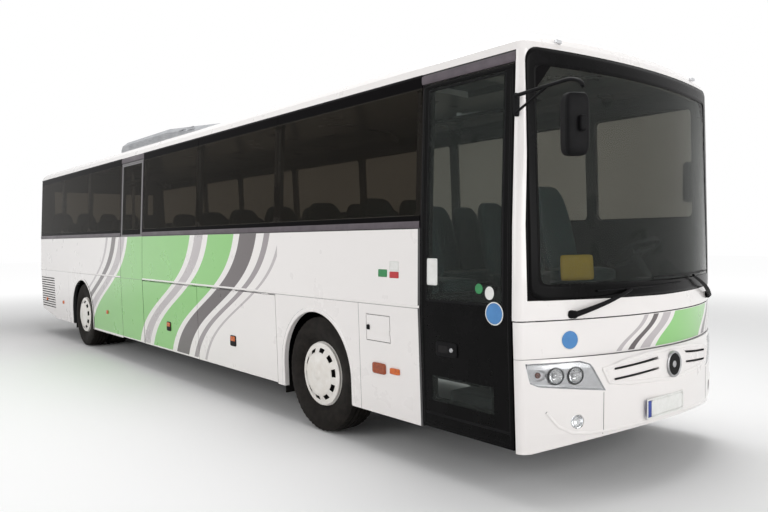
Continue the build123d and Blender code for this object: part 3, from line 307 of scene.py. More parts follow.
def ramp(tree, value, low, high, start=0.0, end=1.0, **settings):
    """Straight line from start to end while the value goes from low to high, and level beyond."""
    ends = {"Value": value, "From Min": low, "From Max": high, "To Min": start, "To Max": end}
    return node(tree, "MapRange", ends, **settings)[0]


def noise(tree, place, scale, detail, rough=0.5):
    """A cloud of noise between 0 and 1."""
    return node(tree, "TexNoise", {"Vector": place, "Scale": scale, "Detail": detail, "Roughness": rough})[0]


def inside(tree, value, low, high, soft=0.0015):
    """1 between low and high, with edges a few millimetres soft."""
    up = ramp(tree, value, low - soft, low + soft)
    return times(tree, up, ramp(tree, value, high - soft, high + soft, 1.0, 0.0))


def rgb(r, g, b):
    """sRGB 0-255 to the linear colour that Blender mixes in: ((c + 0.055) / 1.055)^2.4 above 0.04."""
    c = np.array([r, g, b]) / 255
    linear = np.where(c > 0.04045, ((c + 0.055) / 1.055) ** 2.4, c / 12.92)
    return (*[float(x) for x in linear], 1.0)


def finish(name, rough, bump=0.0, bump_scale=60.0, mottle=None, **sockets):
    """A new material and its tree. `rough` is a range that noise moves in; bump is a height in metres."""
    made = bpy.data.materials.new(name)
    made.use_nodes = True
    tree = made.node_tree
    tree.nodes.clear()
    shader = tree.nodes.new("ShaderNodeBsdfPrincipled")
    tree.links.new(shader.outputs[0], tree.nodes.new("ShaderNodeOutputMaterial").inputs[0])
    for key, value in sockets.items():
        shader.inputs[key.replace("_", " ")].default_value = value
    place = node(tree, "TexCoord")["Object"]
    level = ramp(tree, noise(tree, place, 3.0, 4.0, 0.6), 0.3, 0.7, *rough)
    tree.links.new(level, shader.inputs["Roughness"])
    if bump:
        grain = noise(tree, place, bump_scale, 3.0)
        relief = node(tree, "Bump", {"Height": grain, "Distance": bump, "Strength": 1.0})[0]
        tree.links.new(relief, shader.inputs["Normal"])
    if mottle:
        a, b, scale = mottle
        share = ramp(tree, noise(tree, place, scale, 5.0, 0.65), 0.35, 0.65)
        tree.links.new(mix(tree, share, rgb(*a), rgb(*b)), shader.inputs["Base Color"])
    return made, tree, shader, place


# %% [markdown]
# ### Coach paint
# The body is a slightly warm white under a clear coat. Road film collects low down: the colour drifts a
# touch browner towards the sill. The livery is a set of leaning, sweeping bands in leaf green and two
# greys. Each band is a range of one number, s = x - lean(z), so the bands are exact at any distance.
# Faces that look inwards, towards the middle of the coach, take the dark colour of the lining.
# %% White paint with its livery
WHITE, DUST = rgb(240, 236, 234), rgb(214, 205, 198)
GREEN, PALE_GREY = rgb(132, 200, 108), rgb(188, 181, 183)
MID_GREY, DARK_GREY = rgb(150, 142, 145), rgb(86, 77, 78)
TRIM_BLACK, LINING = rgb(33, 30, 33), rgb(46, 47, 49)
DUSTINESS, CABIN_MIDDLE = 0.15, (0.0, 0.0, 1.6)


def white_paint(name, bands=(), lean=None, limits=None, trims=(), along=0):
    """White paint; `bands` are (low, high, colour) of s = along - lean[0] tanh((z - lean[1]) lean[2])."""
    coat = {"Coat_Weight": 0.6, "Coat_Roughness": 0.06, "Specular_IOR_Level": 0.42}
    made, tree, shader, place = finish(name, (0.27, 0.29), 0.000008, 9.0, **coat)
    axes = node(tree, "SeparateXYZ", {0: place})[:3]
    x, _, z = axes
    film = times(tree, ramp(tree, z, 0.3, 1.3, 1.0, 0.0), noise(tree, place, 2.2, 6.0))
    colour = mix(tree, times(tree, film, DUSTINESS), WHITE, DUST)
    if bands:
        bent = calc(tree, "TANH", times(tree, calc(tree, "SUBTRACT", z, lean[1]), lean[2]))
        s = calc(tree, "SUBTRACT", axes[along], times(tree, bent, lean[0]))
        window = inside(tree, axes[along], *limits[:2])
        window = times(tree, window, inside(tree, z, *limits[2:]))
        for a, b, ink in bands:
            colour = mix(tree, times(tree, inside(tree, s, a, b), window), colour, ink)
    for x0, x1, z0, z1 in trims:
        share = times(tree, inside(tree, x, x0, x1), inside(tree, z, z0, z1))
        colour = mix(tree, share, colour, TRIM_BLACK)
    arm = node(tree, "VectorMath", {0: place, 1: CABIN_MIDDLE}, operation="SUBTRACT")[0]
    outward = node(tree, "TexCoord")["Normal"]
    facing = node(tree, "VectorMath", {0: outward, 1: arm}, operation="DOT_PRODUCT")[1]
    colour = mix(tree, calc(tree, "LESS_THAN", facing, 0.0), colour, LINING)
    tree.links.new(colour, shader.inputs["Base Color"])
    return made


def stretched(bands, factor, start):
    """Bands drawn on a line of their own, stretched and moved to their place on the coach."""
    return [(factor * a + start, factor * b + start, ink) for a, b, ink in bands]


side_bands = [
    (-3.02, -2.94, PALE_GREY), (-2.78, -2.62, DARK_GREY), (-2.50, -2.28, PALE_GREY), (-2.18, -0.28, GREEN),
    (-0.16, 0.04, PALE_GREY), (0.16, 0.72, GREEN), (0.84, 1.16, DARK_GREY), (1.30, 1.40, MID_GREY),
    (1.56, 1.61, PALE_GREY),
]
front_bands = [
    (-0.36, -0.33, PALE_GREY), (-0.29, -0.25, DARK_GREY), (-0.21, -0.14, PALE_GREY), (-0.10, 0.38, GREEN),
    (0.43, 0.50, DARK_GREY), (0.55, 0.58, PALE_GREY),
]
door_trims = [
    (D0, D1, 2.860, 3.0), (D0 - 0.024, D0 + 0.006, 0.30, 3.0), (FX - 9.75, D0 + 0.006, 1.806, 2.945),
    (M0, M1, 2.8, 3.0), (FX - 9.8, D0 - 0.006, 1.211, 1.2145),
]
door_trims += [(x - 0.002, x + 0.002, 0.2, 1.2115) for x in (FX + 0.640, RX + 0.720, RX - 0.780)]
side_limits, front_limits = (FX - 9.2, FX - 0.66, 0.36, 1.806), (-0.8, 1.22, 0.955, 1.183)
side_bands, front_bands = stretched(side_bands, 1.12, FX - 3.25), stretched(front_bands, 1.6, 0.18)
body_paint = white_paint("coach_paint", side_bands, (0.95, 1.02, 2.1), side_limits, door_trims)
plain_paint = white_paint("plain_paint")
front_paint = white_paint("front_flap_paint", front_bands, (0.20, 1.06, 9.0), front_limits, along=1)
print("paints", body_paint.name, plain_paint.name, front_paint.name)

# %% [markdown]
# ### Glass
# Tinted coach glass lets a little light through and shows the seats as soft shapes. It is a Principled
# shader with transmission and a darker base colour, so light is tinted on the way in and again on the way
# out. The bonded edge of each pane carries a black fired band that hides the glue: a colour rule again.
# %% Tinted panes
def tinted(name, tint, through, band=None, bend=1.05):
    """Tinted pane; band(tree, y, z) gives 1 where the black fired edge is, which lets no light through."""
    made, tree, shader, place = finish(name, (0.02, 0.045), IOR=bend)
    y, z = node(tree, "SeparateXYZ", {0: place})[1:3]
    deep = tuple(c * 0.82 for c in tint[:3]) + (1.0,)
    colour = mix(tree, noise(tree, place, 1.3, 2.0), tint, deep)
    shader.inputs["Transmission Weight"].default_value = through
    if band:
        edge = band(tree, y, z)
        colour = mix(tree, edge, colour, rgb(20, 19, 20))
        clear = times(tree, flip(tree, edge), through)
        tree.links.new(clear, shader.inputs["Transmission Weight"])
    tree.links.new(colour, shader.inputs["Base Color"])
    return made


BLACK_BAND, CLEAR_Y, CLEAR_LOW, CLEAR_HIGH = 0.10, 1.125, 1.415, 2.860


def side_edge(tree, y, z):
    """Black within 0.1 m of the side glass's lower and upper edges."""
    return flip(tree, inside(tree, z, BELT + BLACK_BAND, EAVE - BLACK_BAND, 0.004))


def screen_edge(tree, y, z):
    """Black outside a clear window whose upper corners are cut where |y| + 0.8 z = 3.275."""
    wide = inside(tree, y, -CLEAR_Y, CLEAR_Y, 0.006)
    lean = calc(tree, "ADD", calc(tree, "ABSOLUTE", y), times(tree, z, 0.8))
    wide = times(tree, wide, calc(tree, "LESS_THAN", lean, 3.275))
    return flip(tree, times(tree, wide, inside(tree, z, CLEAR_LOW, CLEAR_HIGH, 0.006)))


side_glass = tinted("side_glass", rgb(122, 117, 109), 0.95, side_edge)
screen_glass = tinted("screen_glass", rgb(186, 190, 186), 0.97, screen_edge, 1.08)
door_glass = tinted("door_glass", rgb(178, 184, 180), 0.96, bend=1.06)
lens_clear = tinted("lamp_cover", rgb(246, 246, 246), 0.98, bend=1.3)
print("glass ready")


# %% [markdown]
# ### Rubber, plastics, metals, cloth
# Each of these differs mostly in the size and height of its grain. Tyre rubber is never black: it is a
# warm dark grey with dusty patches. Moulded plastic has a fine pebble. Trim seat cloth is a weave, made
# of two crossed waves.
# %% The other finishes
def coat(name, rough, bump, grain, a, b, spots, shine=0.5, metal=0.0, clear=0.0, through=0.0):
    """One finish of two sRGB colours: ranges and heights as in `finish`, then the shader's own sockets."""
    extra = {"Specular_IOR_Level": shine, "Metallic": metal, "Coat_Weight": clear}
    return finish(name, rough, bump, grain, (a, b, spots), Transmission_Weight=through, **extra)[0]


def lens(name, a, b, through=0.0, rough=(0.12, 0.22), bump=0.0012):
    """Coloured lamp plastic, with a ripple moulded into it."""
    return coat(name, rough, bump, 150, a, b, 40, through=through)


def sign(name, a, b, rough=(0.35, 0.5), bump=0.0001):
    """Printed film."""
    return coat(name, rough, bump, 200, a, b, 12)


tyre_rubber = coat("tyre_rubber", (0.62, 0.82), 0.0006, 220, (20, 18, 16), (36, 32, 29), 14, 0.12)
flap_rubber = coat("flap_rubber", (0.6, 0.8), 0.0008, 160, (16, 15, 15), (28, 26, 25), 9, 0.12)
black_plastic = coat("black_plastic", (0.42, 0.56), 0.0004, 420, (11, 11, 12), (18, 17, 19), 18, 0.08)
gloss_black = coat("door_black", (0.2, 0.3), 0.00005, 12, (7, 7, 7), (12, 11, 12), 6, 0.06)
well_black = coat("grille_black", (0.6, 0.75), 0.0004, 200, (14, 13, 14), (22, 20, 21), 20, 0.2)
dark_plastic = coat("cab_plastic", (0.5, 0.66), 0.0005, 380, (48, 51, 53), (58, 61, 63), 12, 0.3)
air_grey = coat("air_unit_plastic", (0.4, 0.52), 0.0003, 300, (150, 152, 156), (168, 170, 173), 5)
floor_vinyl = coat("floor_vinyl", (0.4, 0.6), 0.0003, 300, (96, 98, 102), (70, 72, 76), 160)
frame_grey = coat("door_frame_metal", (0.34, 0.48), 0.0001, 90, (76, 68, 74), (88, 80, 86), 10, metal=0.35)
silver = coat("lamp_housing", (0.26, 0.36), 0.00008, 90, (196, 197, 200), (214, 215, 217), 16, metal=0.55)
mirror_metal = coat("reflector", (0.05, 0.1), 0.00003, 50, (232, 234, 236), (245, 246, 247), 30, metal=1)
satin_metal = coat("satin_metal", (0.3, 0.42), 0.0002, 240, (150, 150, 152), (178, 178, 180), 24, metal=0.9)
chassis_metal = coat("chassis_metal", (0.55, 0.75), 0.0012, 70, (40, 40, 42), (62, 58, 54), 7, metal=0.3)
cast_metal = coat("cast_metal", (0.6, 0.8), 0.002, 110, (58, 57, 58), (82, 78, 74), 15, metal=0.5)
wheel_white = coat("wheel_white", (0.28, 0.4), 0.0001, 60, (240, 237, 232), (226, 220, 212), 6, clear=0.3)
amber = lens("amber_lens", (238, 122, 26), (206, 84, 14), 0.25, (0.1, 0.2))
dark_amber = lens("dark_amber_lens", (176, 78, 22), (140, 56, 18), 0.15)
brown_lens = lens("indicator_lens", (112, 58, 40), (84, 44, 34), bump=0.0006)
red_lens = lens("red_lens", (178, 22, 20), (126, 12, 14), 0.2, (0.1, 0.2))
plate_white = sign("plate_white", (236, 236, 233), (226, 226, 222), bump=0.0002)
plate_blue = sign("plate_blue", (38, 66, 160), (30, 54, 138), bump=0.0002)
sign_blue = sign("sign_blue", (72, 136, 196), (64, 126, 186))
sign_green = sign("sign_green", (40, 138, 78), (34, 126, 70))
sign_red = sign("sign_red", (190, 40, 48), (176, 34, 42))
sign_yellow = sign("sign_yellow", (196, 164, 44), (182, 150, 38), (0.4, 0.55))


def woven(name, a, b, dot):
    """Seat cloth: crossed waves of 3 mm make the weave, and a finer noise scatters its coloured flecks."""
    made, tree, shader, place = finish(name, (0.78, 0.92), Specular_IOR_Level=0.2, Sheen_Weight=0.25)
    wave = {"Vector": place, "Scale": 50.0, "Distortion": 0.6}
    warp, weft = (node(tree, "TexWave", wave, bands_direction=way)[1] for way in "YZ")
    relief = node(tree, "Bump", {"Height": times(tree, warp, weft), "Distance": 0.0006})[0]
    tree.links.new(relief, shader.inputs["Normal"])
    fleck = inside(tree, noise(tree, place, 90.0, 2.0), 0.62, 2.0, 0.02)
    tree.links.new(mix(tree, fleck, mix(tree, warp, a, b), dot), shader.inputs["Base Color"])
    return made


seat_cloth = woven("seat_cloth", rgb(44, 58, 64), rgb(56, 72, 78), rgb(70, 110, 96))
print("finishes", len(bpy.data.materials))

# %% [markdown]
# ### Dressing the solids
# Every solid keeps its shape and gets its finish by name. The lists follow how a coach is finished in
# the works: what is sprayed with the livery, what is sprayed white, and what is bolted on afterwards.
# %% Finishes for the solids
corners_of = [f"{end}_{hand}" for end in ("front", "rear") for hand in ("right", "left")]
flaps = [f"luggage_flap_{hand}_{end}" for hand in ("right", "left") for end in ("rear", "front")]
dressing = {
    body_paint: ["wall_right", "wall_left", "service_flap", "door_mid_leaf", *flaps],
    plain_paint: ["roof_shell", "front_mask", "front_bumper", "rear_wall", "engine_lid", "rear_bumper"],
    front_paint: ["front_flap"],
    side_glass: ["side_glazing", "rear_window", "door_mid_glass"],
    screen_glass: ["windscreen"],
    door_glass: ["door_front_glass"],
    air_grey: ["roof_air_unit"],
    dark_plastic: ["roof_hatch_front", "roof_hatch_rear", "dashboard", "steering_column", "steering_wheel"],
    silver: ["headlamps"],
    red_lens: ["tail_lamps"],
    amber: ["side_markers"],
    satin_metal: ["door_front_arm", "door_mid_arm", "front_flap_arms"],
    floor_vinyl: ["cabin_floor", "entry_steps"],
    black_plastic: ["wheel_housings", "mirrors", "wipers"],
    gloss_black: ["door_front_leaf"],
    chassis_metal: ["underframe", "luggage_bay", "front_axle", "rear_axle"],
    cast_metal: ["engine_block", "knuckle_right", "knuckle_left"],
    tyre_rubber: ["tyre_" + corner for corner in corners_of],
    flap_rubber: ["mud_flaps"],
    wheel_white: ["rim_" + corner for corner in corners_of],
    seat_cloth: ["driver_seat", "passenger_seats"],
}
for made, names in dressing.items():
    for name in names:
        mesh = nodes[name].data
        mesh.materials.clear()
        mesh.materials.append(made)
missing = sorted(set(nodes) - {name for names in dressing.values() for name in names})
print("solids without a finish:", missing)

# %% [markdown]
# ## Tyres
# A tyre is one closed section swung round its axle. The section is written out point by point across the
# tread, because each groove needs four corners, and as a bulging curve down the walls. Round the wheel
# the shoulders are notched, so the tread reads as blocks when the light grazes it.
# %% Tyre section and surface
TREAD_R, TREAD_HALF, WALL_R, WALL_HALF, SEAT_R, SEAT_HALF = 0.521, 0.12, 0.513, 0.126, 0.2925, 0.09
NOTCHES, NOTCH = 56, 0.006
groove_places = np.array([-0.072, -0.024, 0.024, 0.072])
groove_shape = np.array([[-0.0068, 0.0], [-0.0045, -0.011], [0.0045, -0.011], [0.0068, 0.0]])


def tyre(x, y, sides=180):
    """Tread: r = 0.521 - 0.006 (w / 0.12)^2 less the grooves. Wall, s from 0 to 1: r = 0.513 - 0.217 s,
    w = 0.126 + 0.0215 sin(pi s) - 0.016 s^2. Shoulder points sink 6 mm where sin(56 a) > 0."""
    grooves = (groove_places[:, None, None] * [1, 0] + groove_shape[None]).reshape(-1, 2)
    w = np.concatenate([[-TREAD_HALF, -0.1], grooves[:, 0], [0.1, TREAD_HALF]])
    drop = np.concatenate([[0, 0], grooves[:, 1], [0, 0]])
    tread = points_of(w, TREAD_R - 0.006 * (w / TREAD_HALF) ** 2 + drop)
    s = np.linspace(0, 1, 16)
    ridge = 0.0014 * (np.abs(s - 0.2) < 0.035) + 0.0014 * (np.abs(s - 0.8) < 0.04)
    bulge = WALL_HALF + 0.0215 * np.sin(np.pi * s) - 0.016 * s**2 + ridge
    wall = points_of(bulge, WALL_R - 0.217 * s)
    section = np.concatenate([tread, wall, [[SEAT_HALF, SEAT_R], [-SEAT_HALF, SEAT_R]], wall[::-1] * [-1, 1]])
    a = circle(sides)[:, None]
    shoulder = (np.abs(section[:, 0]) > 0.095) & (section[:, 1] > 0.5)
    radius = section[None, :, 1] - NOTCH * (np.sin(NOTCHES * a) > 0) * shoulder[None]
    points = points_of(x + radius * np.sin(a), y + section[None, :, 0], HUB_Z + radius * np.cos(a))
    return grid(points, wrap_u=True, wrap_v=True)


TRACK, TWIN = 1.086, 0.340
axles = (("front", "wheel_front", FX, [TRACK]), ("rear", "wheels_rear", RX, [TRACK, TRACK - TWIN]))
wheels = [
    (f"{end}_{hand}", f"{body}_{hand}", side, x, tracks)
    for end, body, x, tracks in axles
    for hand, side in (("right", -1), ("left", 1))
]
for corner, body, side, x, tracks in wheels:
    rings = [tyre(x, side * track) for track in tracks]
    treaded = piece(f"tread_{corner}", rings, tyre_rubber, body)
    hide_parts(f"tyre_{corner}")
print("faces on the last axle's tyres", len(treaded.data.polygons))

# %% [markdown]
# ## Wheel covers
# The white covers are one pressed sheet: a nearly flat crown, a steep slope with ten slots, and a lip that
# sits in the rim. The slots are true holes - quads left out of the grid - and the sheet gets its thickness
# from a Solidify modifier. A dark pan behind the slots keeps the light out, as the brake drum does.
# %% Cover profile and slots
cover_profile = np.array([
    (0.0, 0.1765), (0.02, 0.1765), (0.040, 0.176), (0.044, 0.173), (0.050, 0.1715), (0.10, 0.170),
    (0.15, 0.167), (0.180, 0.164), (0.189, 0.1615), (0.195, 0.158), (0.200, 0.1545), (0.236, 0.1375),
    (0.243, 0.134), (0.252, 0.1315), (0.262, 0.131), (0.276, 0.1305), (0.284, 0.125),
])
cover_sides, slope_row = 120, 10
slots = np.ones((len(cover_profile) - 1, cover_sides), bool)
slots[slope_row] = (np.arange(cover_sides) % 12) >= 6
pan_profile = [(0.0, 0.122), (0.18, 0.122), (0.20, 0.114), (0.25, 0.104), (0.25, 0.096), (0.0, 0.096)]
for corner, body, side, x, tracks in wheels:
    hub, way = (x, side * TRACK, HUB_Z), (0, side, 0)
    cover = turned(cover_profile, hub, way, cover_sides, slots)
    piece(f"cover_{corner}", [cover], wheel_white, body, 0.002, closed=side > 0)
    piece(f"pan_{corner}", [turned(pan_profile, hub, way, 60)], well_black, body)
print("slots per cover", int((~slots[slope_row]).sum() / 6))


# %% [markdown]
# ## Arch lips and side mouldings
# Each arch has a rolled lip, a bead that follows the opening just outside the skin. The same bead draws
# the moulding under the windows, the line under the eaves and the crease along the rub rail.
# %% Arch lips and runs
def arch_lip(x_axle, back, front, top, side):
    """Path: straight up from the sill, half a circle of radius (front - back) / 2 + 14 mm, straight down."""
    r = (front - back) / 2
    cx, cz = x_axle + (front + back) / 2, top - r
    r += 0.014
    a = np.linspace(np.pi, 0, 60)
    low = np.linspace(SILL + 0.01, cz - 0.01, 6)
    ring = points_of(cx + r * np.cos(a), cz + r * np.sin(a))
    path = np.concatenate([points_of(cx - r, low), ring, points_of(cx + r, low[::-1])])
    return bead(path, side, 0.022, 0.009)


arches = ((FX, -0.575, 0.512, 1.092), (RX, -0.550, 0.560, 1.108))
lips = [arch_lip(*arch, side) for side in SIDES for arch in arches]
piece("arch_lips", lips, plain_paint)
runs = [(TAIL + 0.06, M0 - 0.006, -1), (M1 + 0.006, D0 - 0.008, -1), (TAIL + 0.06, FX + 2.27, 1)]
for name, z, half_width, height, paint, slot in (
    ("belt_moulding", 1.838, 0.027, 0.006, frame_grey, "dark_plastic"),
    ("eave_moulding", 2.940, 0.010, 0.004, black_plastic, "black_plastic"),
    ("rub_rail", 1.226, 0.010, 0.0045, plain_paint, "paint"),
):
    strips = [side_bead(x0, x1, z, side, half_width, height) for x0, x1, side in runs]
    piece(name, strips, paint)
print("mouldings", len(lips), "lips,", len(runs), "runs each")

# %% [markdown]
# ## Headlamps
# Each headlamp is a silver bowl set into the bumper: a wall sinks from the painted edge to a floor that
# follows the nose 12 mm down. Two round lamps and an oval indicator sit in wells of their own. The grid
# runs between the lamp's upper and lower outline, so its edges meet the opening exactly.
# %% Lamp housing
LAMP_IN, LAMP_OUT, LAMP_DEPTH = 0.688, 1.228, 0.012
upper_edge = np.array([(LAMP_IN, 0.711), (0.804, 0.900), (0.868, 0.921), (LAMP_OUT, 0.919)])
lower_edge = np.array([(LAMP_IN, 0.711), (1.150, 0.765), (1.200, 0.790), (LAMP_OUT, 0.919)])
indicator_well = (1.140, 0.838, 0.052, 0.036, 0.022)
round_wells = [(1.036, 0.828, 0.058, 0.058, 0.036), (0.904, 0.825, 0.060, 0.060, 0.036)]
FOG_Y, FOG_Z, FOG_R = 0.895, 0.522, 0.044


def lamp_points(side, inset, wells=(), n=150, m=60, squeeze=0.994):
    """y runs along the lamp and t from its lower to its upper edge. Depth below the nose is
    inset min(1, e / 12 mm) with e the distance to the outline, plus a flat-bottomed well of
    d min(1, 3 (1 - r^2)) where r < 1 is the scaled distance to a lamp's middle."""
    middle = (LAMP_IN + LAMP_OUT) / 2
    y = middle + (np.linspace(LAMP_IN, LAMP_OUT, n) - middle) * squeeze
    t = np.linspace(0, 1, m)
    low = np.interp(y, *lower_edge.T)[:, None]
    tall = np.interp(y, *upper_edge.T)[:, None] - low
    z = low + tall * (0.5 + (t - 0.5) * squeeze)[None]
    y = y[:, None]
    edge = np.minimum(np.minimum(t, 1 - t)[None] * tall, LAMP_OUT - y)
    depth = inset * np.clip(edge / 0.012, 0, 1)
    for wy, wz, ry, rz, deep in wells:
        depth = depth + deep * np.clip(3.0 * (1 - ((y - wy) / ry) ** 2 - ((z - wz) / rz) ** 2), 0, 1)
    return grid(points_of(bumper_x(y, z) - depth, side * y, z)[::side])


def lamp_on_nose(side, wy, wz, radius, lift, profile, sides=40):
    """A turned piece facing along the nose's own slope at (y, z)."""
    e = 0.004
    slope = (bumper_x(wy + e, wz) - bumper_x(wy - e, wz)) / (2 * e)
    way = unit(np.array([1.0, -slope * side, 0.0]))
    middle = np.array([float(bumper_x(wy, wz)), side * wy, wz]) + lift * way
    return turned(np.asarray(profile) * radius, middle, way, sides)


# %% Lamp parts
bowl = [(0.0, -0.62), (0.3, -0.58), (0.6, -0.42), (0.82, -0.2), (0.86, -0.1)]
bowl += [(0.86, -0.14), (0.6, -0.5), (0.0, -0.68)]
dome = [(0.0, 0.06), (0.3, 0.045), (0.6, 0.0), (0.84, -0.08), (0.84, -0.12), (0.6, -0.05), (0.0, 0.0)]
collar = [(0.84, -0.16), (0.85, 0.0), (0.93, 0.05), (0.96, 0.0), (0.96, -0.2), (0.84, -0.16)]
bulb = [(0.0, -0.1), (0.12, -0.12), (0.2, -0.2), (0.2, -0.4), (0.0, -0.42)]
button = [(0.0, 0.3), (0.5, 0.22), (1.0, -0.1), (1.0, -0.5), (0.0, -0.5)]
fog_dome = [(0.0, 0.12), (0.5, 0.08), (0.95, -0.1), (0.95, -0.2), (0.0, -0.1)]
fog_bowl = [(0.0, -0.7), (0.5, -0.55), (0.9, -0.2), (0.93, 0.06), (1.0, 0.1)]
fog_bowl += [(1.0, 0.02), (0.95, -0.3), (0.5, -0.7), (0.0, -0.8)]
housings, bowls, lenses, buttons, collars = [], [], [], [], []
for side in SIDES:
    housings.append(lamp_points(side, LAMP_DEPTH, [indicator_well] + round_wells))
    for wy, wz, radius, _, _ in round_wells:
        bowls.append(lamp_on_nose(side, wy, wz, radius, -0.012, bowl))
        lenses.append(lamp_on_nose(side, wy, wz, radius, -0.014, dome))
        collars.append(lamp_on_nose(side, wy, wz, radius, -0.012, collar))
        bowls.append(lamp_on_nose(side, wy, wz, radius, -0.012, bulb, 20))
    wy, wz = indicator_well[:2]
    buttons.append(lamp_on_nose(side, wy + 0.006, wz, 0.020, -0.022, button, 24))
    lenses.append(lamp_on_nose(side, FOG_Y, FOG_Z, FOG_R, -0.016, fog_dome))
    bowls.append(lamp_on_nose(side, FOG_Y, FOG_Z, FOG_R, -0.010, fog_bowl))
covers = [lamp_points(side, 0.001, n=40, m=16, squeeze=0.99) for side in SIDES]
house = piece("headlamp_housings", housings, silver, thick=0.002)
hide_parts("headlamps")
piece("headlamp_bowls", bowls, mirror_metal)
piece("headlamp_lenses", lenses, lens_clear)
piece("headlamp_collars", collars, dark_plastic)
piece("front_indicators", buttons, brown_lens)
piece("headlamp_covers", covers, lens_clear, thick=0.0015)
print("lamp depth range m", LAMP_DEPTH, "to", LAMP_DEPTH + round_wells[0][-1])

# %% [markdown]
# ## Nose details
# The grille is a shallow moulded panel: a raised bead runs round it, two slots lie each side of a plain
# roundel, and black plates behind the slots hide the inside. The roundel is a turned disc with a satin
# ring; it carries no mark. The number plate is blank, with a blue band.
# %% Grille and roundel
half_grille = [
    (0.0, 0.928), (0.3, 0.917), (0.52, 0.893), (0.708, 0.853), (0.657, 0.765), (0.5, 0.744), (0.22, 0.735),
    (0.0, 0.718),
]
grille_corners = half_grille + [(-y, z) for y, z in half_grille[-2:0:-1]]
piece("grille_bead", [nose_bead(grille_corners, 0.015, 0.009, bumper_x)], plain_paint)
back_ends = ((-0.64, -0.17), (0.17, 0.64))
backs = [nose_patch(*ends, 0.755, 0.905, bumper_x, -0.040, 30, 8, 12.0) for ends in back_ends]
piece("grille_backs", backs, well_black, thick=0.004)
slot_in, slot_out, slot_frames = 0.185, 0.625, []
for side in SIDES:
    for z_in, z_out in ((0.806, 0.772), (0.878, 0.842)):
        inner = [(side * slot_in, z_in - 0.004), (side * slot_in, z_in + 0.019)]
        outer = [(side * slot_out, z_out + 0.019), (side * slot_out, z_out - 0.004)]
        slot_frames.append(nose_bead(inner + outer, 0.004, 0.005, bumper_x, 16))
piece("grille_slot_edges", slot_frames, plain_paint)
BADGE_Z, badge_way = 0.820, (1, 0, 0.02)
badge_place = (float(bumper_x(0.0, BADGE_Z)) - 0.006, 0.0, BADGE_Z)
dish = [(0.0, 0.012), (0.04, 0.0125), (0.07, 0.014), (0.078, 0.013), (0.078, 0.0), (0.0, 0.0)]
hoop = [(0.078, 0.0), (0.078, 0.016), (0.083, 0.0195), (0.090, 0.0195), (0.094, 0.016), (0.094, 0.0)]
hoop += hoop[:1]
boss = [(0.0, 0.018), (0.02, 0.0175), (0.024, 0.015), (0.024, 0.010), (0.0, 0.010)]
piece("badge_dish", [turned(dish, badge_place, badge_way, 64)], gloss_black)
piece("badge_hoop", [turned(hoop, badge_place, badge_way, 64)], satin_metal)
piece("badge_boss", [turned(boss, badge_place, badge_way, 40)], satin_metal)


# %% Plate, lip and seams
def flat_front(y, z):
    """A plate's own plane, 4 mm before the nose on the middle line."""
    return float(bumper_x(0.0, 0.5)) + 0.004 + 0 * y


plate_low, plate_high, (left, right), rim = 0.487, 0.602, (-0.340, 0.130), 0.006
band = left + 0.045
field = nose_patch(band, right, plate_low, plate_high, flat_front, 0.0, 20, 8, 14.0)
strip = nose_patch(left, band, plate_low, plate_high, flat_front, 0.0, 8, 8, 14.0)
piece("front_plate", [field], plate_white, thick=0.002)
piece("front_plate_band", [strip], plate_blue, thick=0.002)
plate_corners = [(left - rim, plate_low - rim), (left - rim, plate_high + rim)]
plate_corners += [(right + rim, plate_high + rim), (right + rim, plate_low - rim)]
piece("front_plate_frame", [nose_bead(plate_corners, rim, 0.004, flat_front)], plate_white)
half_lip = [
    (1.10, 0.600), (1.02, 0.500), (0.93, 0.452), (0.80, 0.438), (0.60, 0.444), (0.35, 0.458), (0.12, 0.468),
]
lip_corners = [(-y, z) for y, z in half_lip] + half_lip[::-1]
piece("bumper_crease", [nose_bead(lip_corners, 0.012, 0.005, bumper_x, 10, False)], plain_paint)
seam_lines = [[(side * 0.704, 0.42), (side * 0.704, 0.712)] for side in SIDES]
bumper_seams = [nose_bead(line, 0.0022, 0.0012, bumper_x, 30, False, 0.0002) for line in seam_lines]
piece("bumper_seams", bumper_seams, well_black)
print("nose details placed at x", round(badge_place[0], 3))


# %% [markdown]
# ## Wipers
# Two arms start on dark round heads in the lower corners of the front and carry long thin blades that
# overlap in the middle. Arm and blade are tubes laid on the glass, each with its own taper.
# %% Wiper arms and blades
def over_glass(start, end, n, lift):
    """A straight line from (y, z) to (y, z), carried on the windscreen's skin at a height."""
    y, z = (a + (b - a) * np.linspace(0, 1, n) for a, b in zip(start, end))
    return points_of(mask_x(y, z) + lift, y, z)


head_profile = [(0.0, 0.040), (0.018, 0.039), (0.026, 0.030), (0.028, 0.0), (0.028, -0.012), (0.0, -0.012)]
heads, arms, blades = [], [], []
for pivot, joint, left, right in (
    ((-0.905, 1.226), (-0.40, 1.372), (-0.70, 1.372), (0.28, 1.392)),
    ((0.985, 1.250), (0.50, 1.432), (0.98, 1.452), (-0.12, 1.444)),
):
    base = (float(mask_x(*pivot)), *pivot)
    heads.append(turned(head_profile, base, (1, -0.3 * pivot[0], 0.0), 32))
    t = np.linspace(0, 1, 24)
    arms.append(tube(over_glass(pivot, joint, 24, 0.030 + 0.016 * np.sin(np.pi * t)), 0.019 - 0.009 * t, 10))
    blades.append(tube(over_glass(left, right, 40, 0.012), 0.0055, 8))
    blades.append(tube(over_glass(left, right, 40, 0.024)[10:31], 0.005, 8))
wiper = piece("wiper_arms", heads + arms, black_plastic)
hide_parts("wipers")
piece("wiper_blades", blades, black_plastic)
print("wipers", len(heads))

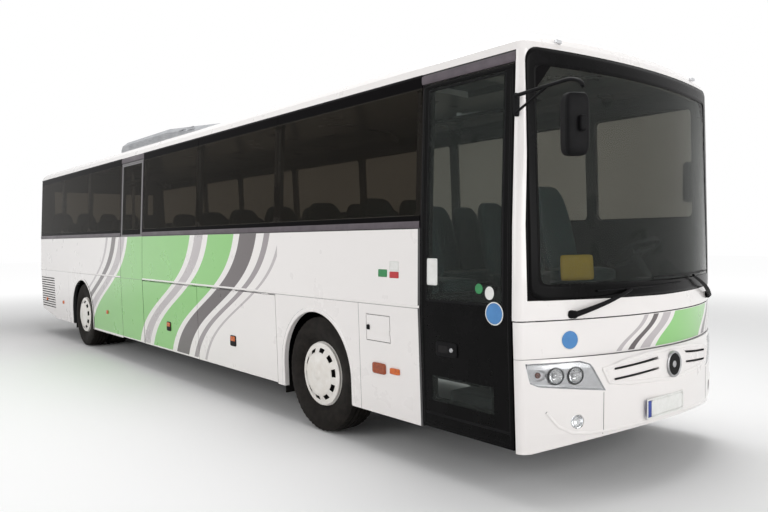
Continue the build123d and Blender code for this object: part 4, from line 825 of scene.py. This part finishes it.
# %% [markdown]
# ## Mirrors
# The heads are soft-edged shells on a bent tube. The tube's path is a straight reach from the pillar, a
# bend, and a drop to the knuckle that grips the head. Known fault: the drop isn't drawn. `tube` takes its
# sideways direction from the vertical, so a path that falls exactly straight down has none, and the rings
# there are not a number.
# %% Mirror heads, arms and glass
MIRROR_TURN, MIRROR_Y, FOOT_X, FOOT_Y = 62, 1.355, FX + 2.298, 1.255
HEAD_X, HEAD_Y, GLASS_X, GLASS_Y = 0.074, 0.049, 0.060, 0.005  # half sizes
TUBE_R, BRACE_R, GRIP_BELOW_TOP = 0.0125, 0.009, 0.18
shells, tubes, faces, knuckles = [], [], [], []
t = np.linspace(0, 1, 26)[:, None]
for side, head_x, low, high, top, foot_low, foot_high in (
    (-1, 2.8175, 2.200, 2.560, 2.700, 2.530, 2.640), (1, 2.108, 2.040, 2.400, 2.500, 2.330, 2.440),
):
    half_tall = (high - low) / 2
    spin = np.array(Matrix.Rotation(np.radians(-MIRROR_TURN * side), 3, "Z"))
    along, back = -side * spin[:, 0], -side * spin[:, 1]
    middle = np.array([FX + head_x, side * MIRROR_Y, low + half_tall])
    shells.append(pillow(middle, (HEAD_X, HEAD_Y, half_tall), 0.34, 28, spin))
    faces.append(pillow(middle + back * 0.0455, (GLASS_X, GLASS_Y, half_tall - 0.02), 0.25, 16, spin))
    drop = middle - back * 0.058 + along * 0.020
    drop[2] = high - GRIP_BELOW_TOP
    bend = np.array([drop[0], drop[1], top - 0.05])
    foot = np.array([FOOT_X, side * FOOT_Y, foot_high])
    reach, fall = foot + (bend - foot) * t, bend + (drop - bend) * t
    line = np.concatenate([reach[:-3], fall[3:]])
    for _ in range(4):
        line[1:-1] = (line[:-2] + 2 * line[1:-1] + line[2:]) / 4
    brace = np.array([foot[0], foot[1], foot_low])
    tubes.append(tube(line, TUBE_R, 14))
    tubes.append(tube(brace + (reach[13] - brace) * t, BRACE_R, 10))
    bracket = (foot[0], foot[1] - 0.012 * side, (foot_low + foot_high) / 2)
    tubes.append(pillow(bracket, (0.013, 0.022, (foot_high - foot_low) / 2 + 0.02), 0.3, 14))
    knuckles.append(pillow(drop - back * 0.002, (0.020, 0.018, 0.044), 0.35, 14, spin))
shell = piece("mirror_shells", shells, black_plastic)
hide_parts("mirrors")
piece("mirror_knuckles", knuckles, black_plastic)
piece("mirror_arms", tubes, black_plastic)
piece("mirror_glass", faces, mirror_metal)
print("mirror heads", len(faces))

# %% [markdown]
# ## Doors
# The front door is a black leaf with a slim frame round its tall pane and a recessed handle. The middle
# door is a painted leaf with a metal frame round its upper pane. The frame strips are beads on the side
# skin; the handle is a soft-edged plate with a dark well.
# %% Door frames and handle
door_edge = side_frame(D0 + 0.026, D1 - 0.026, 0.372, 2.842, 0.016, 0.005)
pane_edge = side_frame(D0 + 0.072, D1 - 0.078, 1.282, 2.812, 0.008, 0.003)
mid_edge = side_frame(M0 + 0.022, M1 - 0.022, 1.832, 2.842, 0.007, 0.004)
piece("front_door_frame", [door_edge], gloss_black, "door_front")
piece("front_door_pane_frame", [pane_edge], black_plastic, "door_front")
piece("mid_door_frame", [mid_edge], frame_grey, "door_mid")
header_ends = ((D0 - 0.012, D1 - 0.004), (M0 - 0.006, M1 + 0.006))
headers = [side_bead(*ends, 2.905, -1, 0.032, 0.005) for ends in header_ends]
piece("door_headers", headers, frame_grey)
handle_x, handle_z = FX + 1.672, 0.940
skin_y = -float(side_y(handle_z))
plate = pillow((handle_x, skin_y - 0.001, handle_z), (0.106, 0.010, 0.052), 0.22, 20)
well = pillow((handle_x - 0.028, skin_y - 0.0095, handle_z), (0.048, 0.004, 0.026), 0.3, 16)
lock_profile = [(0.0, 0.006), (0.014, 0.006), (0.018, 0.0), (0.0, 0.0)]
lock = turned(lock_profile, (handle_x + 0.052, skin_y - 0.009, handle_z), (0, -1, 0), 30)
ledge = side_bead(D0 + 0.04, D1 - 0.04, 0.452, -1, 0.010, 0.004)
piece("door_handle_plate", [plate], black_plastic, "door_front")
piece("door_handle_well", [well], well_black, "door_front")
piece("door_handle_lock", [lock], satin_metal, "door_front")
piece("front_door_ledge", [ledge], black_plastic, "door_front")
print("door pieces on", "door_front", "door_mid")

# %% [markdown]
# ## Signs and small labels
# The signs stay blank: plain discs and labels of the right size and colour, a fraction of a millimetre
# thick, bent to the skin that they are stuck on.
# %% Blank signs
BIG_DISC, DISC, LABEL, TALL_LABEL = (24, 24, 2.0), (16, 16, 2.0), (8, 6, 20.0), (8, 10, 20.0)
for name, ends, heights, lift, form, paint, body, thick in (
    ("door_sign_rim", (2.052, 2.208), (1.154, 1.310), 0.0040, BIG_DISC, plate_white, "door_front", 0.0008),
    ("door_sign", (2.060, 2.200), (1.162, 1.302), 0.0050, BIG_DISC, sign_blue, "door_front", 0.0008),
    ("front_sign_rim", (-0.986, -0.856), (0.994, 1.124), 0.0006, BIG_DISC, plate_white, "front_flap", 0.0008),
    ("front_sign", (-0.980, -0.862), (1.000, 1.118), 0.0014, BIG_DISC, sign_blue, "front_flap", 0.0008),
    ("door_label", (1.475, 1.585), (1.395, 1.590), 0.0012, TALL_LABEL, plate_white, "door_front", 0.0006),
    ("door_disc_green", (1.955, 2.025), (1.355, 1.425), 0.0012, DISC, sign_green, "door_front", 0.0006),
    ("door_disc_white", (2.045, 2.125), (1.320, 1.410), 0.0012, DISC, plate_white, "door_front", 0.0006),
    ("wall_label_green", (0.905, 1.015), (1.435, 1.495), 0.0008, LABEL, sign_green, "coach_body", 0.0006),
    ("wall_label_red", (1.045, 1.155), (1.430, 1.480), 0.0008, LABEL, sign_red, "coach_body", 0.0006),
    ("wall_label_white", (1.045, 1.155), (1.486, 1.560), 0.0008, LABEL, plate_white, "coach_body", 0.0006),
):
    if body == "front_flap":
        film = nose_patch(*ends, *heights, mask_x, lift, *form)
    else:
        film = side_patch(FX + ends[0], FX + ends[1], *heights, lift, *form)
    piece(name, [film], paint, body, thick=thick)
card = nose_patch(-0.93, -0.66, 1.445, 1.615, mask_x, -0.045, 8, 8, 16.0)
piece("screen_card_yellow", [card], sign_yellow, thick=0.002)
print("signs are blank")


# %% [markdown]
# ## Windscreen border
# The fired black border of the windscreen is a ring between two rounded rectangles, laid two millimetres
# over the front. One parameter runs round it and the other across it.
# %% Border ring
def round_loop(half, low, high, radius, n=480):
    """Rounded rectangle: a square of rays is pulled in to a circle of `radius` round each corner's core."""
    tall = (high - low) / 2
    ray = points_of(np.cos(circle(n)), np.sin(circle(n)))
    square = ray / np.maximum(np.abs(ray[:, 0]) / half, np.abs(ray[:, 1]) / tall)[:, None]
    limit = np.array([half - radius, tall - radius])
    core = np.clip(square, -limit, limit)
    out = square - core
    far = np.maximum(np.linalg.norm(out, axis=1), 1e-9)[:, None]
    return core + out / far * np.minimum(far, radius) + [0, (low + high) / 2]


outer_loop = round_loop(1.196, 1.322, 2.966, 0.09)
inner_loop = round_loop(1.120, 1.425, 2.850, 0.05)
share = np.linspace(0, 1, 5)[None, :, None]
ring = outer_loop[:, None] + (inner_loop - outer_loop)[:, None] * share
y, z = np.moveaxis(ring, -1, 0)
border = grid(points_of(mask_x(y, z) + 0.0020, y, z)[::-1], wrap_u=True)
piece("screen_border", [border], gloss_black, thick=0.0008)
print("border points", len(outer_loop))


# %% [markdown]
# ## Side lamps, catches and vents
# Side lamps are amber lenses in dark surrounds. Those on the luggage flaps ride on the flaps, so they
# swing up with them. The catch on the service flap is a small black tongue.
# %% Side lamps on walls and flaps
def on_side(x, z, side, lift, half_x, half_y, half_z, power=0.3):
    """A small pillow on a side wall, its middle `lift` outside the skin."""
    return pillow((x, side * (float(side_y(z)) + lift), z), (half_x, half_y, half_z), power, 14)


def side_lamp(x, z, side, half_x=0.036, half_z=0.028):
    """A soft-edged lens, 14 mm proud."""
    return on_side(x, z, side, 0.004, half_x, 0.010, half_z)


flap_lamps = [(FX - 3.365, "rear"), (FX - 1.613, "front")]
for x, part in flap_lamps:
    for side, hand in ((-1, "right"), (1, "left")):
        flap = f"flap_{hand}_{part}"
        lamp = side_lamp(x, 0.678, side, 0.054, 0.026)
        surround = on_side(x, 0.655, side, 0.001, 0.064, 0.009, 0.058, 0.28)
        piece(f"flap_lamp_{hand}_{part}", [lamp], amber, flap)
        piece(f"flap_lamp_seat_{hand}_{part}", [surround], well_black, flap)
wall_lamps = [side_lamp(FX + 0.895, 0.700, side, 0.082, 0.044) for side in SIDES]
reflectors = [side_lamp(FX + 1.090, 0.700, side, 0.056, 0.024) for side in SIDES]
reflectors += [side_lamp(FX + x, 0.660, side) for side in SIDES for x in (-5.757, -8.177, -9.288)]
markers = piece("side_lamps", wall_lamps, dark_amber)
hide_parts("side_markers")
piece("side_reflectors", reflectors, amber)
latch = pillow((FX + 0.770, -(float(side_y(1.020)) + 0.003), 1.022), (0.016, 0.010, 0.020), 0.4, 14)
piece("service_catch", [latch], black_plastic, "service_flap")
cap_x, cap_z = float(nose_x(0.90, 3.03, CAP_Z, CAP_X)) - 0.006, 3.030
cap_lamps = [pillow((cap_x, side * 0.90, cap_z), (0.010, 0.034, 0.012), 0.35, 14) for side in SIDES]
piece("roof_marker_lamps", cap_lamps, silver)
print("flap lamps", 2 * len(flap_lamps))

# %% [markdown]
# ## Seats
# A coach seat is a padded shell: the back leans and its shoulders pull in towards the head, and the
# cushion crowns in the middle. Both are superellipsoids bent by a smooth function, one small mesh repeated
# along the rows. Behind dark glass it is their outline that shows.
# %% One seat
AISLE, BREADTH, PITCH, FLOOR, BENCH = 0.290, 0.445, 0.800, 0.900, 1.160


def seat(x, y, base, width=0.435, tall=0.74):
    """Back: superellipsoid whose half width shrinks by 1 - 0.28 s^3 with height s, leaning back 0.22 m per
    metre, with bolsters that swell 25 mm to the sides. Cushion: superellipsoid crowned 20 mm."""
    back, back_quads = pillow((0, 0, 0), (0.055, width / 2, tall / 2), 0.42, 16)
    s = np.clip(back[:, 2] / tall + 0.5, 0, 1)
    back[:, 1] *= 1 - 0.28 * s**3
    back[:, 0] += 0.025 * (np.abs(back[:, 1]) / (width / 2)) ** 2 - 0.22 * (back[:, 2] + tall / 2)
    cushion, quads = pillow((0, 0, 0), (0.225, width / 2, 0.055), 0.36, 14)
    cushion[:, 2] += 0.02 * np.cos(np.pi * cushion[:, 1] / width) * (cushion[:, 2] > 0)
    back += [x - 0.245, y, base + 0.42 + tall / 2]
    return [(back, back_quads), (cushion + [x, y, base + 0.395], quads)]


# %% Rows, legs and the driver's seat
left_x = FX + 0.88 - PITCH * np.arange(11)
right_x = np.concatenate([left_x[:6], M0 - 0.42 - PITCH * np.arange(4)])
rows = [(x, side) for side, places in ((-1, right_x), (1, left_x)) for x in places]
cushions, legs = [], []
for x, side in rows:
    for y in (AISLE + BREADTH / 2, AISLE + BREADTH * 1.5):
        cushions += seat(x, side * y, FLOOR + 0.03)
    legs.append(pillow((x, side * (AISLE + 0.06), FLOOR + 0.17), (0.16, 0.028, 0.172), 0.3, 10))
    legs.append(pillow((x, side * (AISLE + BREADTH), FLOOR + 0.355), (0.17, BREADTH * 0.92, 0.022), 0.25, 10))
for place in range(5):
    cushions += seat(TAIL + 0.56, (place - 2) * BREADTH, BENCH)
legs.append(pillow((TAIL + 0.545, 0, BENCH + 0.17), (0.2, 1.0, 0.145), 0.15, 10))
passengers = piece("passenger_cushions", cushions, seat_cloth)
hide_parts("passenger_seats")
piece("seat_frames", legs, dark_plastic)
DRIVER_X, DRIVER_Y = FX + 1.48, 0.65
driver_parts = seat(DRIVER_X, DRIVER_Y, FLOOR + 0.10, 0.48, 0.80)
driver = piece("driver_cushions", driver_parts, seat_cloth)
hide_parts("driver_seat")
base = pillow((DRIVER_X - 0.01, DRIVER_Y, FLOOR + 0.215), (0.17, 0.15, 0.215), 0.2, 12)
piece("driver_seat_base", [base], dark_plastic)
print("seats", len(cushions) // 2, "triangles about", sum(len(q) for _, q in cushions) * 2)

# %% [markdown]
# ## Rear and roof
# The tail lamps stand in stacks of round lenses, the rear plate is blank, and the roof unit has rows of
# louvre blades down its sides.
# %% Rear lamps and plate
lens_profile = [(0.0, 0.014), (0.02, 0.0125), (0.038, 0.006), (0.046, 0.0), (0.0, 0.0)]
for name, heights, paint, slot in (
    ("tail_lenses", (0.95, 1.065), red_lens, "red_lamp"),
    ("tail_lenses_amber", (1.18,), amber, "amber_lamp"),
    ("tail_lenses_clear", (1.295,), lens_clear, "lamp"),
):
    centres = [(TAIL - 0.006, side * 1.12, z) for side in SIDES for z in heights]
    piece(name, [turned(lens_profile, centre, (-1, 0, 0), 36) for centre in centres], paint)
plate = pillow((TAIL - 0.004, 0.0, 0.90), (0.003, 0.26, 0.055), 0.12, 16)
piece("rear_plate", [plate], plate_white, "engine_lid")
places = [(FX - 5.9 + 0.28 * k, side * 0.797, z) for side in SIDES for k in range(9) for z in (3.262, 3.236)]
louvres = [pillow(centre, (0.105, 0.008, 0.007), 0.3, 10) for centre in places]
piece("air_unit_louvres", louvres, air_grey)
print("rear and roof dressed")

# %% [markdown]
# ## Studio
# A pale floor, an even white sky and three broad soft lamps: above, beside and before the coach. The
# sky is seen as pure white by the camera and in reflections, while the light that it sheds is set apart,
# so the coach is lit at a plain level. The floor is brightened far out for the camera only, so that it
# melts into the white but keeps the coach's shadow.
# %% Floor
def seen_rays(tree):
    """1 for rays from the camera, in reflections and through glass; 0 for those that only light."""
    rays = node(tree, "LightPath")
    seen = calc(tree, "MAXIMUM", rays["Is Camera Ray"], rays["Is Glossy Ray"])
    return calc(tree, "MAXIMUM", seen, rays["Is Transmission Ray"])


HALF_FLOOR, FLOOR_DROP = 60.0, 0.0005
quarters = ((-1, -1), (1, -1), (1, 1), (-1, 1))
floor_points = [(x * HALF_FLOOR, y * HALF_FLOOR, -FLOOR_DROP) for x, y in quarters]
floor_mesh = bpy.data.meshes.new("studio_floor")
floor_mesh.from_pydata(floor_points, [], [(0, 1, 2, 3)])
studio_floor = bpy.data.objects.new("studio_floor", floor_mesh)
bpy.context.scene.collection.objects.link(studio_floor)
floor_paint = bpy.data.materials.new("studio_floor")
floor_paint.use_nodes = True
tree = floor_paint.node_tree
tree.nodes.clear()
away = node(tree, "VectorMath", {0: node(tree, "TexCoord")["Object"]}, operation="LENGTH")[1]
lift = ramp(tree, away, 7.0, 20.0, 0.0, 0.6, interpolation_type="SMOOTHSTEP")
matt = node(tree, "BsdfDiffuse", {"Color": (0.9, 0.9, 0.9, 1.0)})[0]
strength = times(tree, seen_rays(tree), lift)
glow = node(tree, "Emission", {"Color": (1.0, 1.0, 1.0, 1.0), "Strength": strength})[0]
both = node(tree, "AddShader", {0: matt, 1: glow})[0]
tree.links.new(both, tree.nodes.new("ShaderNodeOutputMaterial").inputs[0])
floor_mesh.materials.append(floor_paint)

# %% Sky and lamps
sky = bpy.data.worlds.new("studio_sky")
bpy.context.scene.world = sky
sky.use_nodes = True
tree = sky.node_tree
tree.nodes.clear()
light_level = 0.42
strength = calc(tree, "ADD", times(tree, seen_rays(tree), 1.0 - light_level), light_level)
background = node(tree, "Background", {"Color": (1.0, 1.0, 1.0, 1.0), "Strength": strength})[0]
tree.links.new(background, tree.nodes.new("ShaderNodeOutputWorld").inputs[0])


def soft_lamp(name, place, target, size, power):
    """Puts a square area lamp at `place`, looking at `target`."""
    lamp = bpy.data.lights.new(name, "AREA")
    lamp.shape, lamp.size, lamp.energy = "SQUARE", size, power
    obj = bpy.data.objects.new(name, lamp)
    obj.location = place
    obj.rotation_euler = (Vector(target) - Vector(place)).to_track_quat("-Z", "Y").to_euler()
    bpy.context.scene.collection.objects.link(obj)


soft_lamp("overhead", (1.5, 1.5, 11.0), (0.0, 0.0, 1.0), 9.0, 1000)
soft_lamp("side_fill", (1.0, -13.0, 5.0), (0.0, 0.0, 1.5), 8.0, 430)
soft_lamp("front_fill", (15.0, -1.0, 4.0), (5.0, 0.0, 1.2), 6.0, 400)
print("studio ready")

# %% [markdown]
# ## Camera
# The camera stands low beside the front corner with a medium lens, three quarters on. Its axes are
# written as a rotation matrix: right, up, and backwards.
# %% Camera
lens_data = bpy.data.cameras.new("main_camera")
lens_data.sensor_width, lens_data.lens = 36.0, 32.67
lens_data.clip_end = 200
camera = bpy.data.objects.new("main_camera", lens_data)
bpy.context.scene.collection.objects.link(camera)
heading, pitch, roll = np.radians([140.633, -1.3, -0.535])
forward = np.array([np.cos(pitch) * np.cos(heading), np.cos(pitch) * np.sin(heading), np.sin(pitch)])
right = np.cross(forward, [0, 0, 1])
right /= np.linalg.norm(right)
up = np.cross(right, forward)
right, up = np.cos(roll) * right + np.sin(roll) * up, -np.sin(roll) * right + np.cos(roll) * up
pose = np.eye(4)
pose[:3, 0], pose[:3, 1], pose[:3, 2], pose[:3, 3] = right, up, -forward, (FX + 5.224, -4.754, 1.725)
camera.matrix_world = Matrix(pose.tolist())
bpy.context.scene.camera = camera
bpy.context.scene.view_settings.view_transform = "Standard"
print("camera at", camera.location[:])

# %% [markdown]
# ## Last update
# The view layer is brought up to date once more.
# %% Update
bpy.context.view_layer.update()
